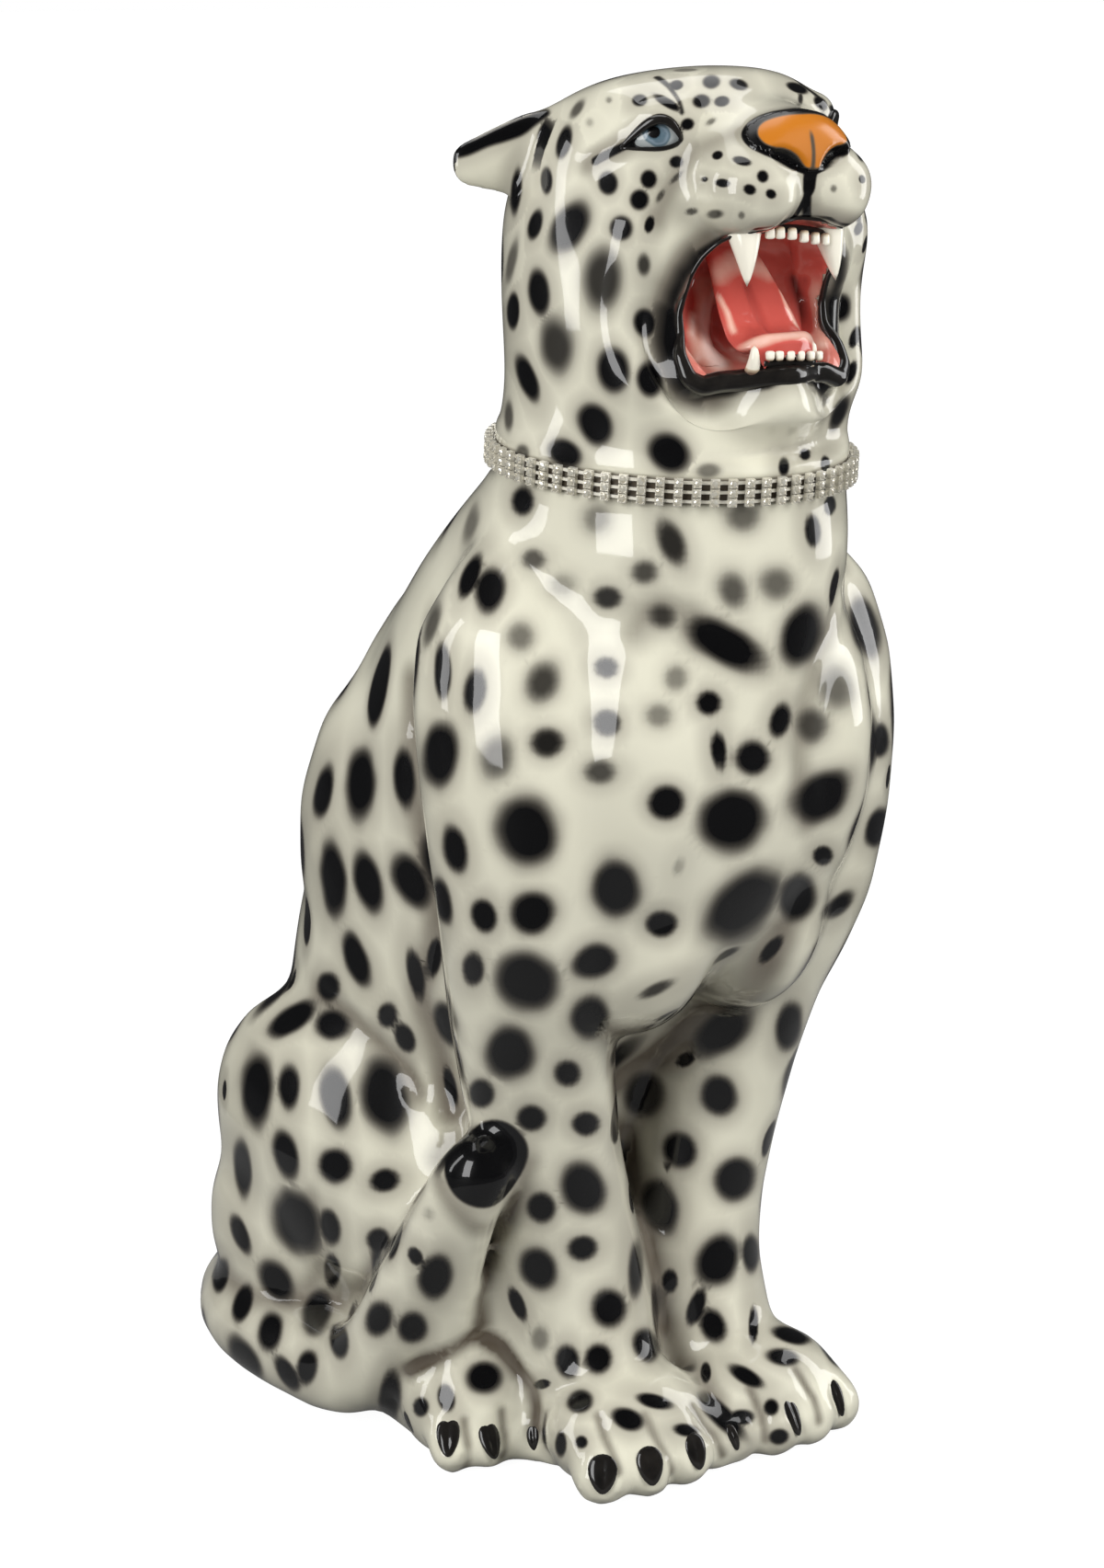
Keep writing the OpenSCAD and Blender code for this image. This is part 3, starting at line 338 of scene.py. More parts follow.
# The stage: the floor's half width, its grey, and its glow to the camera and in reflections; the flags' radius, height,
# middle, ring over the floor and black; the surround's strength as light; and the place that the lamps look at.
FLOOR_HALF, FLOOR_GREY, FLOOR_GLOW, FLOOR_MIRRORED = 40, (0.12, 0.12, 0.119, 1), 0.96, 0.08
FLAG_R, FLAG_TALL, FLAG_MIDDLE, FLAG_RING, FLAG_BLACK = 2.2, 2.6, 1.32, 1.75, (0.03, 0.03, 0.032, 1)
SURROUND_LIGHT = 0.44
LIT_POINT = np.array((0, -0.02, 0.3))

# What one operator leaves for the next: the skins of body and head, the lips and the mouth's inside.
WORK = {}


def linear(code):
    """An sRGB hex colour as linear red, green, blue."""
    parts = [int(code[i:i + 2], 16) / 255 for i in (0, 2, 4)]
    return tuple(c / 12.92 if c <= 0.04045 else ((c + 0.055) / 1.055) ** 2.4 for c in parts)


def on_photo(points):
    """Where points fall on the photograph, in pixels."""
    local = points - EYE_POINT
    depth = local @ LOOK
    return (PHOTO_W / 2 + PHOTO_FOCAL * (local @ SIDEWAYS) / depth,
            PHOTO_H / 2 - PHOTO_FOCAL * (local @ UPWARDS) / depth)


def sight_line(x, y):
    """The direction from the camera through a pixel of the photograph."""
    line = LOOK * PHOTO_FOCAL + SIDEWAYS * (x - PHOTO_W / 2) - UPWARDS * (y - PHOTO_H / 2)
    return line / np.linalg.norm(line)


def ease(values, low, high):
    """A smooth step from 0 at low to 1 at high."""
    share = np.clip((values - low) / (high - low), 0, 1)
    return share * share * (3 - 2 * share)


def path_distance(points, path):
    """The distance of each point from a line through the path's points."""
    best = np.full(len(points), np.inf)
    for start, end in zip(path, path[1:]):
        run = end - start
        share = np.clip(((points - start) @ run) / max(run @ run, 1e-12), 0, 1)
        best = np.minimum(best, np.linalg.norm(points - start - share[:, None] * run, axis=1))
    return best


def nearest(points, place):
    """The index of the point nearest to a place."""
    return int(np.argmin(((points - place) ** 2).sum(1)))


def spots(rows):
    """A table's spots, with their lean in radians and their ink filled in."""
    for x, y, short, long, lean, *ink in rows:
        yield x, y, short, long, math.radians(lean), ink[0] if ink else 1.0


def shape_depth(u, v, corners):
    """How far points lie inside a closed, rounded shape, in pixels; negative outside."""
    loop = [np.array((x, y), float) for x, y in corners]
    for _ in range(2):
        loop = [p for a, b in zip(loop, loop[1:] + loop[:1]) for p in (0.75 * a + 0.25 * b, 0.25 * a + 0.75 * b)]
    loop.append(loop[0])
    away = path_distance(np.stack((u, v), 1), loop)
    inside = np.zeros(len(u), bool)
    for (x0, y0), (x1, y1) in zip(loop, loop[1:]):
        inside ^= ((y0 > v) != (y1 > v)) & (u < (x1 - x0) * (v - y0) / (y1 - y0 or 1e-9) + x0)
    return np.where(inside, away, -away)


class Skin:
    """A casting's surface while it is modelled and painted."""

    def __init__(self, mesh):
        self.mesh = mesh
        self.co = points_of(mesh)
        count = len(self.co)
        links = np.empty(len(mesh.edges) * 2, int)
        mesh.edges.foreach_get("vertices", links)
        self.a, self.b = links.reshape(-1, 2).T
        self.links = np.maximum(self.beside(np.ones(count)), 1)
        self.edge, self.ink, self.soft = np.full(count, OUTSIDE), np.zeros(count), np.full(count, 1.5)
        # Painted shade, from 0 to 1: darker in folds, hollows, between the legs and behind the collar.
        self.painted_shade = np.zeros(count)
        self.store()

    def store(self):
        """Puts the points back into the mesh, and renews the normals and the tree that sight lines are tested on."""
        self.mesh.vertices.foreach_set("co", self.co.astype(np.float32).ravel())
        self.mesh.update()
        flat = np.empty(len(self.co) * 3, np.float32)
        self.mesh.vertex_normals.foreach_get("vector", flat)
        self.normal = flat.reshape(-1, 3).astype(float)
        self.tree = BVHTree.FromPolygons(self.co.tolist(), [p.vertices[:] for p in self.mesh.polygons])

    def beside(self, values):
        """The sum of a value over each point's neighbours."""
        count = len(values)
        return np.bincount(self.a, values[self.b], count) + np.bincount(self.b, values[self.a], count)

    def mean(self, values):
        """Each point's mean over its neighbours."""
        return np.stack([self.beside(v) for v in values.T], 1) / self.links[:, None]

    def spread(self, chosen):
        """The chosen points and their neighbours."""
        return chosen | (self.beside(chosen) > 0)

    def smooth(self, rounds, weight=1.0):
        """Rubs the surface smooth."""
        weight = np.broadcast_to(weight, len(self.co))[:, None]
        for _ in range(rounds):
            self.co += 0.5 * weight * (self.mean(self.co) - self.co)

    def hit(self, x, y):
        """The surface point under a pixel of the photograph, moved in a little where the outline just misses it."""
        in_x, in_y = INNER_PIXEL
        for share in (0, .01, .02, .03, .05, .08):
            found = self.tree.ray_cast(EYE_POINT, sight_line(x + (in_x - x) * share, y + (in_y - y) * share))[0]
            if found is not None:
                return np.array(found)
        return None

    def trace(self, pixels):
        """The surface points under a line of pixels."""
        found = [self.hit(x, y) for x, y in pixels]
        return [p for p in found if p is not None]

    def laid(self, path):
        """A path laid on the surface."""
        return [np.array(self.tree.find_nearest(Vector(p))[0]) for p in path]

    def mirrored(self, path):
        """The same path on the animal's other side, laid on the surface."""
        return self.laid([p * MIRROR for p in path])

    def fold(self, path, depth, reach):
        """Presses a fold into the surface along a path, or raises a ridge where depth is negative."""
        if len(path) < 2:
            return
        away = path_distance(self.co, path)
        self.co -= self.normal * (depth * np.exp(-(away / reach * 2) ** 2))[:, None]

    def paint(self, edge, ink, soft):
        """Takes over a painted edge where it lies further inside than what is there."""
        more = edge > self.edge
        self.edge[more], self.ink[more], self.soft[more] = edge[more], np.broadcast_to(ink, len(edge))[more], soft

    def facing(self):
        """How squarely each point faces the photograph's camera."""
        line = EYE_POINT - self.co
        return np.einsum("ij,ij->i", line, self.normal) / np.linalg.norm(line, axis=1)

    def photo_spots(self, rows):
        """Airbrushed spots where the photograph shows them; the smaller, the crisper."""
        u, v = on_photo(self.co)
        facing = self.facing()
        front = facing > 0.02
        for x, y, short, long, turn, ink in spots(rows):
            centre = self.hit(x, y)
            if centre is None:
                continue
            soft = max(0.5, 0.09 * min(short, long) - 0.2) * (2.0 - ink)
            if facing[nearest(self.co, centre)] < GRAZING:
                axis = SIDEWAYS * math.sin(turn) + UPWARDS * math.cos(turn)
                self.oval(centre, axis, long * PIXEL / 2, max(short, 0.65 * long) * PIXEL / 2, ink, soft)
                continue
            near = front & (np.linalg.norm(self.co - centre, axis=1) < long * PIXEL * 1.6 + 10 * MM)
            along = (u - x) * math.sin(turn) - (v - y) * math.cos(turn)
            across = (u - x) * math.cos(turn) + (v - y) * math.sin(turn)
            out = np.hypot(across / (short / 2), along / (long / 2))
            edge = np.where(near, (1 - out) * min(short, long) / 2 * PIXEL / MM, OUTSIDE)
            self.paint(edge, ink, soft)

    def oval(self, centre, axis, half_long, half_short, ink, soft):
        """One spot in the surface round a point."""
        normal = self.normal[nearest(self.co, centre)]
        along = axis - normal * (axis @ normal)
        along /= max(np.linalg.norm(along), 1e-9)
        across = np.cross(normal, along)
        offset = self.co - centre
        near = (np.abs(offset) < half_long * 2.2).all(1) & (self.normal @ normal > 0.1)
        out = np.hypot(offset @ across / half_short, offset @ along / half_long)
        self.paint(np.where(near, (1 - out) * half_short / MM, OUTSIDE), ink, soft)

    def unseen(self):
        """Points that the photograph doesn't show, or only at a grazing angle."""
        dark = self.facing() < 0.12
        for i in np.flatnonzero(~dark):
            start = self.co[i] + self.normal[i] * 1.5 * MM
            dark[i] = self.tree.ray_cast(start, EYE_POINT - start)[0] is not None
        return dark

    def shade(self, path, strength, reach, start=0):
        """Sprays shade along a path, which fades out between two distances in millimetres."""
        fade = 1 - ease(path_distance(self.co, path) / MM, start, reach)
        self.painted_shade = np.maximum(self.painted_shade, strength * fade)

    def line(self, path, width, ink, soft):
        """A painted line along a path, with its width and softness in millimetres."""
        if len(path) > 1:
            self.paint(width / 2 - path_distance(self.co, path) / MM, ink, soft)

    def stencil(self, corners):
        """How far each point lies inside a shape seen on the near half of the face, in millimetres. The far half
        mirrors it."""
        flip = np.where(self.co[:, :1] > 0, MIRROR, 1)
        near = self.co * flip
        seen = np.einsum("ij,ij->i", EYE_POINT - near, self.normal * flip) > 0
        return np.where(seen, shape_depth(*on_photo(near), corners) * PIXEL / MM, OUTSIDE)

    def press(self, folds):
        """Presses or raises all folds of a list on both sides."""
        paths = [(depth, reach, self.trace(pixels)) for depth, reach, pixels in folds]
        for depth, reach, path in paths:
            self.fold(path, depth * MM, reach * MM)
            if np.mean([p[0] for p in path]) < -8 * MM:
                self.fold(self.mirrored(path), depth * MM, reach * MM)
        self.store()

    def warp(self, handles, targets, reach):
        """Pulls the surface so that its handles come to their targets."""
        shift, total = np.zeros_like(self.co), np.zeros(len(self.co))
        for start, end in zip(handles, targets):
            weight = np.exp(-((self.co - start) ** 2).sum(1) / (2 * reach * reach))
            shift += weight[:, None] * (end - start)
            total += weight
        self.co += shift / np.maximum(total, 1)[:, None]

    def finish(self):
        """The finished mesh, with its paint as attributes."""
        self.store()
        paint = {"spot_edge": self.edge, "spot_ink": self.ink, "spot_soft": self.soft, "painted_shade": self.painted_shade}
        for key, values in paint.items():
            set_layer(self.mesh, key, values)
        return self.shaded()

    def shaded(self):
        """The mesh, shaded smooth."""
        self.mesh.polygons.foreach_set("use_smooth", np.ones(len(self.mesh.polygons), bool))
        return self.mesh


def placed(name, data):
    """A new object in the scene."""
    obj = bpy.data.objects.new(name, data)
    bpy.context.scene.collection.objects.link(obj)
    return obj


def new_piece(name, mesh, material, body, slot, *nodes):
    """Puts a finished mesh into the scene as a piece that rides on a body and stands for CAD nodes."""
    mesh.name = name
    obj = placed(name, mesh)
    mesh.materials.clear()
    mesh.materials.append(material)
    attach(obj, body)
    if nodes:
        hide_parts(*nodes)


def bmesh_of(*meshes):
    """A bmesh that holds the given meshes."""
    bm = bmesh.new()
    for mesh in meshes:
        bm.from_mesh(mesh)
    return bm


def mesh_of(bm, smooth=True):
    """A mesh from a bmesh, which is freed."""
    for face in bm.faces:
        face.smooth = smooth
    mesh = bpy.data.meshes.new("made")
    bm.to_mesh(mesh)
    bm.free()
    return mesh


def evaluated(obj):
    """The mesh of an object with its modifiers or bevel applied; the object itself is removed."""
    bpy.context.view_layer.update()
    graph = bpy.context.evaluated_depsgraph_get()
    mesh = bpy.data.meshes.new_from_object(obj.evaluated_get(graph))
    bpy.data.objects.remove(obj)
    return mesh


def cast(nodes, plugs, voxel, fills=()):
    """The outer skin of CAD nodes fused into one casting. Plugs close the hollow, so that its inner wall can be
    dropped, and fills are rolls of clay that close a gap between limbs."""
    bm = bmesh_of(*(frame["nodes"][node].data for node in nodes))
    bmesh.ops.remove_doubles(bm, verts=bm.verts[:], dist=1e-6)
    for place, radius, depth in plugs:
        bmesh.ops.create_cone(bm, cap_ends=True, segments=64, radius1=radius, radius2=radius, depth=depth,
                              matrix=place)
    for roll in fills:
        for start, end in zip(roll, roll[1:]):
            for share in (0, 0.2, 0.4, 0.6, 0.8, 1):
                *place, radius = (np.array(start) + share * (np.array(end) - start)) * MM
                bmesh.ops.create_icosphere(bm, subdivisions=2, radius=radius, matrix=Matrix.Translation(place))
    obj = placed("casting", mesh_of(bm))
    fuse = obj.modifiers.new("fuse", "REMESH")
    fuse.mode, fuse.voxel_size = "VOXEL", voxel
    bm = bmesh_of(evaluated(obj))
    first = max(bm.verts, key=lambda v: v.co.x)
    kept, open_ends = {first}, [first]
    while open_ends:
        vert = open_ends.pop()
        for edge in vert.link_edges:
            other = edge.other_vert(vert)
            if other not in kept:
                kept.add(other)
                open_ends.append(other)
    bmesh.ops.delete(bm, geom=[v for v in bm.verts if v not in kept], context="VERTS")
    return mesh_of(bm)


def seam_frame():
    """The matrix of the neck seam: Z up along the neck."""
    turn = Vector((0, 0, 1)).rotation_difference(Vector(SEAM_UP)).to_matrix().to_4x4()
    return Matrix.Translation(SEAM_AT) @ turn


def round_neck(skin):
    """Makes the neck truly round where the collar turns on it."""
    height = (skin.co - SEAM_AT) @ SEAM_UP
    outward = skin.co - SEAM_AT - height[:, None] * SEAM_UP
    reach = np.linalg.norm(outward, axis=1)
    weight = (1 - ease(np.abs(height), *NECK_BAND)) * (reach > NECK_LEAST)
    skin.co += outward * ((NECK_R - reach) / np.maximum(reach, 1e-6) * weight)[:, None]


def shade_neck(skin):
    """Paints shade on the neck behind the collar, where only the collar's open rows show it."""
    height = np.abs((skin.co - SEAM_AT) @ SEAM_UP)
    skin.painted_shade = np.maximum(skin.painted_shade, NECK_DARK * (1 - ease(height, *NECK_SHADE)))


def cut_at_seam(mesh, keep_upper):
    """Cuts a casting flat at the neck seam and closes it."""
    bm = bmesh_of(mesh)
    cut = bmesh.ops.bisect_plane(bm, geom=bm.verts[:] + bm.edges[:] + bm.faces[:], dist=1e-6, plane_co=SEAM_AT,
                                 plane_no=SEAM_UP, clear_inner=keep_upper, clear_outer=not keep_upper)
    rim = [e for e in cut["geom_cut"] if isinstance(e, bmesh.types.BMEdge)]
    bmesh.ops.contextual_create(bm, geom=rim)
    for edge in rim:
        edge.smooth = False
    for face in bm.faces:
        face.smooth = True
    bm.to_mesh(mesh)
    bm.free()
    return mesh


def finer(mesh, chosen):
    """The mesh with the faces round chosen points split in four."""
    bm = bmesh_of(mesh)
    edges = [e for e in bm.edges if all(chosen[v.index] for v in e.verts)]
    bmesh.ops.subdivide_edges(bm, edges=edges, cuts=1, use_grid_fill=True, smooth=0.0)
    return mesh_of(bm)


def scatter(skin, choice, kind, longest, lean, seed):
    """Spots at even random places on chosen points. kind gives their spacing and half width at a place, longest says
    how drawn out they are, and lean how far their tops lie back."""
    draw = np.random.default_rng(seed)
    taken = skin.co[np.flatnonzero((skin.edge > 1.0) & ~choice)[::40]]
    for i in draw.permutation(np.flatnonzero(choice)):
        place = skin.co[i]
        spacing, half = kind(place)
        if len(taken) and np.min(((taken - place) ** 2).sum(1)) < spacing ** 2:
            continue
        half *= draw.uniform(0.75, 1.3)
        half_long = half * draw.uniform(1.1, longest)
        axis = np.array((0, draw.uniform(-0.2, lean), 1))
        skin.oval(place, axis, half_long, half, 1.0, 0.4 + 0.5 * half / MM)
        taken = np.vstack((taken, place))


def hollows(skin, rounds):
    """How far each point lies in a hollow of the surface, in millimetres."""
    wide = skin.co.copy()
    for _ in range(rounds):
        wide += 0.5 * (skin.mean(wide) - wide)
    return np.einsum("ij,ij->i", wide - skin.co, skin.normal) / MM


def add(tree, kind, inputs=(), **settings):
    """Adds a node with its settings. An input is a value, or a socket to link."""
    made = tree.nodes.new("ShaderNode" + kind)
    for key, value in settings.items():
        setattr(made, key, value)
    for key, value in dict(inputs).items():
        if isinstance(value, bpy.types.NodeSocket):
            tree.links.new(value, made.inputs[key])
        else:
            made.inputs[key].default_value = value
    return made


def new_material(name, **constants):
    """A material with a Principled shader, whose constant values are set on its sockets."""
    material = bpy.data.materials.get(name)
    if material is not None:
        return material, None, None
    material = bpy.data.materials.new(name)
    material.use_nodes = True
    tree = material.node_tree
    shader = tree.nodes["Principled BSDF"]
    for key, value in constants.items():
        shader.inputs[key.replace("_", " ")].default_value = value
    return material, tree, shader


def per_mm(size):
    """The scale of a pattern whose features are this many millimetres apart."""
    return 1 / (size * MM)


GLAZE = {"Coat_Weight": 1.0, "Coat_Roughness": 0.05, "Coat_IOR": 1.5, "Specular_IOR_Level": 0.1, "IOR": 1.5}


def glazed_earthenware(colours):
    """Slip-cast earthenware: cream slip with airbrushed black spots and grey-brown painted shade, under a thick clear
    glaze that ripples."""
    material, tree, shader = new_material("glazed_earthenware", Roughness=0.32, **GLAZE)
    if tree is None:
        return material
    place = add(tree, "TexCoord").outputs["Object"]
    cloud = add(tree, "TexNoise", {"Vector": place, "Scale": per_mm(70), "Detail": 3.0}).outputs["Fac"]
    wobble = add(tree, "TexNoise", {"Vector": place, "Scale": per_mm(20), "Detail": 1.0}).outputs["Fac"]
    edge = add(tree, "Attribute", attribute_name="spot_edge").outputs["Fac"]
    ink = add(tree, "Attribute", attribute_name="spot_ink").outputs["Fac"]
    soft = add(tree, "Attribute", attribute_name="spot_soft").outputs["Fac"]
    painted_shade = add(tree, "Attribute", attribute_name="painted_shade").outputs["Fac"]
    ragged = add(tree, "Math", {0: wobble, 1: 0.5}, operation="SUBTRACT").outputs[0]
    swing = add(tree, "Math", {0: soft, 1: 0.8, 2: 0.6}, operation="MULTIPLY_ADD").outputs[0]
    edge = add(tree, "Math", {0: ragged, 1: swing, 2: edge}, operation="MULTIPLY_ADD").outputs[0]
    low = add(tree, "Math", {0: soft, 1: -1.2}, operation="MULTIPLY").outputs[0]
    cover = add(tree, "MapRange", {"Value": edge, "From Min": low, "From Max": soft},
                interpolation_type="SMOOTHSTEP").outputs[0]
    cover = add(tree, "Math", {0: cover, 1: ink}, operation="MULTIPLY").outputs[0]
    slip = add(tree, "Mix", {0: cloud, 6: (*colours.cream, 1), 7: (*colours.ivory, 1)}, data_type="RGBA").outputs[2]
    # Painted shade: grey-brown mixed into the slip where the painted shade attribute says, a little unevenly.
    dim = add(tree, "Math", {0: cloud, 1: painted_shade}, operation="MULTIPLY").outputs[0]
    dim = add(tree, "Math", {0: dim, 1: 0.6, 2: painted_shade}, operation="MULTIPLY_ADD", use_clamp=True).outputs[0]
    slip = add(tree, "Mix", {0: dim, 6: slip, 7: (*colours.painted_shade, 1)}, data_type="RGBA").outputs[2]
    halo = add(tree, "MapRange", {"Value": edge, "From Min": -9.0, "From Max": 0.0, "To Max": 0.5},
               interpolation_type="SMOOTHSTEP").outputs[0]
    halo = add(tree, "Math", {0: halo, 1: ink}, operation="MULTIPLY").outputs[0]
    slip = add(tree, "Mix", {0: halo, 6: slip, 7: (*colours.halo, 1)}, data_type="RGBA").outputs[2]
    fringe = add(tree, "MapRange", {"Value": cover, "From Min": 0.0, "From Max": 0.7, "To Max": 0.85}).outputs[0]
    slip = add(tree, "Mix", {0: fringe, 6: slip, 7: (*colours.fringe, 1)}, data_type="RGBA").outputs[2]
    heart = add(tree, "MapRange", {"Value": cover, "From Min": 0.2, "From Max": 0.9}).outputs[0]
    slip = add(tree, "Mix", {0: heart, 6: slip, 7: (*colours.black, 1)}, data_type="RGBA").outputs[2]
    ripple = add(tree, "TexNoise", {"Vector": place, "Scale": per_mm(45), "Detail": 1.0}).outputs["Fac"]
    bump = add(tree, "Bump", {"Height": ripple, "Strength": 0.2, "Distance": 1.2 * MM}).outputs["Normal"]
    for socket, value in (("Base Color", slip), ("Normal", bump), ("Coat Normal", bump)):
        tree.links.new(value, shader.inputs[socket])
    return material


def black_glaze(colours):
    """Black underglaze on small raised shapes: near black, with the clear glaze's bright gloss and a faint ripple."""
    material, tree, shader = new_material("black_underglaze", Roughness=0.3, **GLAZE)
    if tree is None:
        return material
    place = add(tree, "TexCoord").outputs["Object"]
    cloud = add(tree, "TexNoise", {"Vector": place, "Scale": per_mm(6), "Detail": 2.0}).outputs["Fac"]
    shade = add(tree, "MapRange", {"Value": cloud, "To Max": 0.25}).outputs[0]
    tone = add(tree, "Mix", {0: shade, 6: (*colours.black, 1), 7: (*colours.fringe, 1)}, data_type="RGBA")
    bump = add(tree, "Bump", {"Height": cloud, "Strength": 0.15, "Distance": 0.4 * MM}).outputs["Normal"]
    tree.links.new(tone.outputs[2], shader.inputs["Base Color"])
    tree.links.new(bump, shader.inputs["Coat Normal"])
    return material


def painted_glaze(name, layer, stops, gloss=GLAZE["Coat_Roughness"]):
    """Underglaze colours that follow a painted attribute, brushed a little unevenly under the clear glaze."""
    material, tree, shader = new_material(name, Roughness=0.3, **{**GLAZE, "Coat_Roughness": gloss})
    if tree is None:
        return material
    place = add(tree, "TexCoord").outputs["Object"]
    brush = add(tree, "TexNoise", {"Vector": place, "Scale": per_mm(3), "Detail": 3.0}).outputs["Fac"]
    value = add(tree, "Attribute", attribute_name=layer).outputs["Fac"]
    brush = add(tree, "Math", {0: brush, 1: 0.5}, operation="SUBTRACT").outputs[0]
    value = add(tree, "Math", {0: brush, 1: 0.06, 2: value}, operation="MULTIPLY_ADD").outputs[0]
    ramp = add(tree, "ValToRGB", {"Fac": value})
    points = ramp.color_ramp.elements
    while len(points) < len(stops):
        points.new(0.5)
    for point, (at, colour) in zip(points, stops):
        point.position, point.color = at, (*colour, 1)
    tree.links.new(ramp.outputs["Color"], shader.inputs["Base Color"])
    return material


def silver_plate(colours, name="polished_silver_plate", metallic=0.4):
    """Silver plate on cast trim: bright, a little tarnished in patches. It is metallic only in part, so that it stays
    bright among the dark flags."""
    material, tree, shader = new_material(name, Metallic=metallic)
    if tree is None:
        return material
    place = add(tree, "TexCoord").outputs["Object"]
    patch = add(tree, "TexNoise", {"Vector": place, "Scale": per_mm(4), "Detail": 3.0}).outputs["Fac"]
    tone = add(tree, "Mix", {0: patch, 6: (*colours.silver, 1), 7: (*colours.tarnish, 1)}, data_type="RGBA").outputs[2]
    rough = add(tree, "MapRange", {"Value": patch, "To Min": 0.18, "To Max": 0.35}).outputs[0]
    tree.links.new(tone, shader.inputs["Base Color"])
    tree.links.new(rough, shader.inputs["Roughness"])
    return material


def foiled_crystal(colours):
    """Cut glass with a foil back: each facet mirrors the room in part, so it is half metallic under a clear coat."""
    material, tree, shader = new_material("foil_backed_crystal", Metallic=0.5, Roughness=0.12, Coat_Weight=1.0,
                                          Coat_Roughness=0.02)
    if tree is None:
        return material
    place = add(tree, "TexCoord").outputs["Object"]
    fire = add(tree, "TexNoise", {"Vector": place, "Scale": per_mm(2.2), "Detail": 1.0}).outputs["Fac"]
    tone = add(tree, "Mix", {0: fire, 6: (*colours.crystal, 1), 7: (*colours.crystal_fire, 1)},
               data_type="RGBA").outputs[2]
    tree.links.new(tone, shader.inputs["Base Color"])
    return material


class StatueFinish(bpy.types.PropertyGroup):
    """Colours of the glazes and of the collar."""

    def colour(name, description, code):
        return FloatVectorProperty(name=name, description=description, subtype="COLOR", size=3, min=0, max=1,
                                   default=linear(code))

    cream: colour("Cream slip", "Main colour of the castings", "D4D1BD")
    ivory: colour("Ivory slip", "Paler patches of the castings", "DCD9C7")
    # Painted shade: the grey-brown sprayed into folds and hollows and behind the collar.
    painted_shade: colour("Airbrushed shade", "Grey-brown sprayed into the folds", "574E42")
    fringe: colour("Spot fringe", "Thin edge of the sprayed spots", "4A443D")
    halo: colour("Overspray", "Grey mist round the sprayed spots", "8B8579")
    black: colour("Spot black", "Black of spots, lips and claws", "0B0B0C")
    orange: colour("Nose orange", "Painted nose", "BC701A")
    rose: colour("Mouth red", "Inside of the mouth", "C4564C")
    pink: colour("Tongue pink", "Pale parts of the mouth", "E0AC9A")
    # The throat colour is partly painted shade, in the mouth's creases and seams.
    throat: colour("Throat", "Dark parts of the mouth", "6A2A25")
    tooth: colour("Tooth ivory", "Teeth", "EFEADA")
    # Painted shade of the teeth: brown towards the roots, darkest where they enter the gum.
    tooth_root: colour("Tooth root", "Brown wash at the roots of the teeth", "C9B79A")
    tooth_stain: colour("Tooth stain", "Where the teeth enter the gum", "6B5346")
    iris: colour("Iris", "Ring of the eyes", "7F8F9B")
    iris_inside: colour("Iris inside", "Ring round the pupils", "4E6470")
    iris_rim: colour("Iris rim", "Outer edge of the iris", "5C717B")
    eye_white: colour("Eye white", "Rest of the eyes", "A9AEAD")
    nose_edge: colour("Nose edge", "Where the nose's orange meets its black", "55493A")
    # Darker red is partly painted shade towards the throat, and pale flesh is painted highlight on the mouth's ridges.
    flesh: colour("Flesh", "Darker red of the mouth", "B04A42")
    flesh_pale: colour("Pale flesh", "Palest strokes in the mouth", "F1D2C6")
    silver: colour("Silver", "Plated trim", "F5F3EA")
    tarnish: colour("Tarnish", "Duller patches of the trim", "CBC4B0")
    crystal: colour("Crystal", "Foil-backed stones", "FAFAF4")
    crystal_fire: colour("Crystal fire", "Warmer glints of the stones", "D0C3A0")
    del colour


class StatueSizes(bpy.types.PropertyGroup):
    """Sizes that are worked out in Blender."""

    body_grain: FloatProperty(name="Body grain", description="Size of the body's mesh", unit="LENGTH", default=3.0 * MM)
    head_grain: FloatProperty(name="Head grain", description="Size of the head's mesh", unit="LENGTH", default=1.3 * MM)
    iris: FloatProperty(name="Iris", description="Diameter of the iris", unit="LENGTH", default=10 * MM)
    seed: IntProperty(name="Seed", description="Seed of the spots on the sides that the photograph hides", default=7)


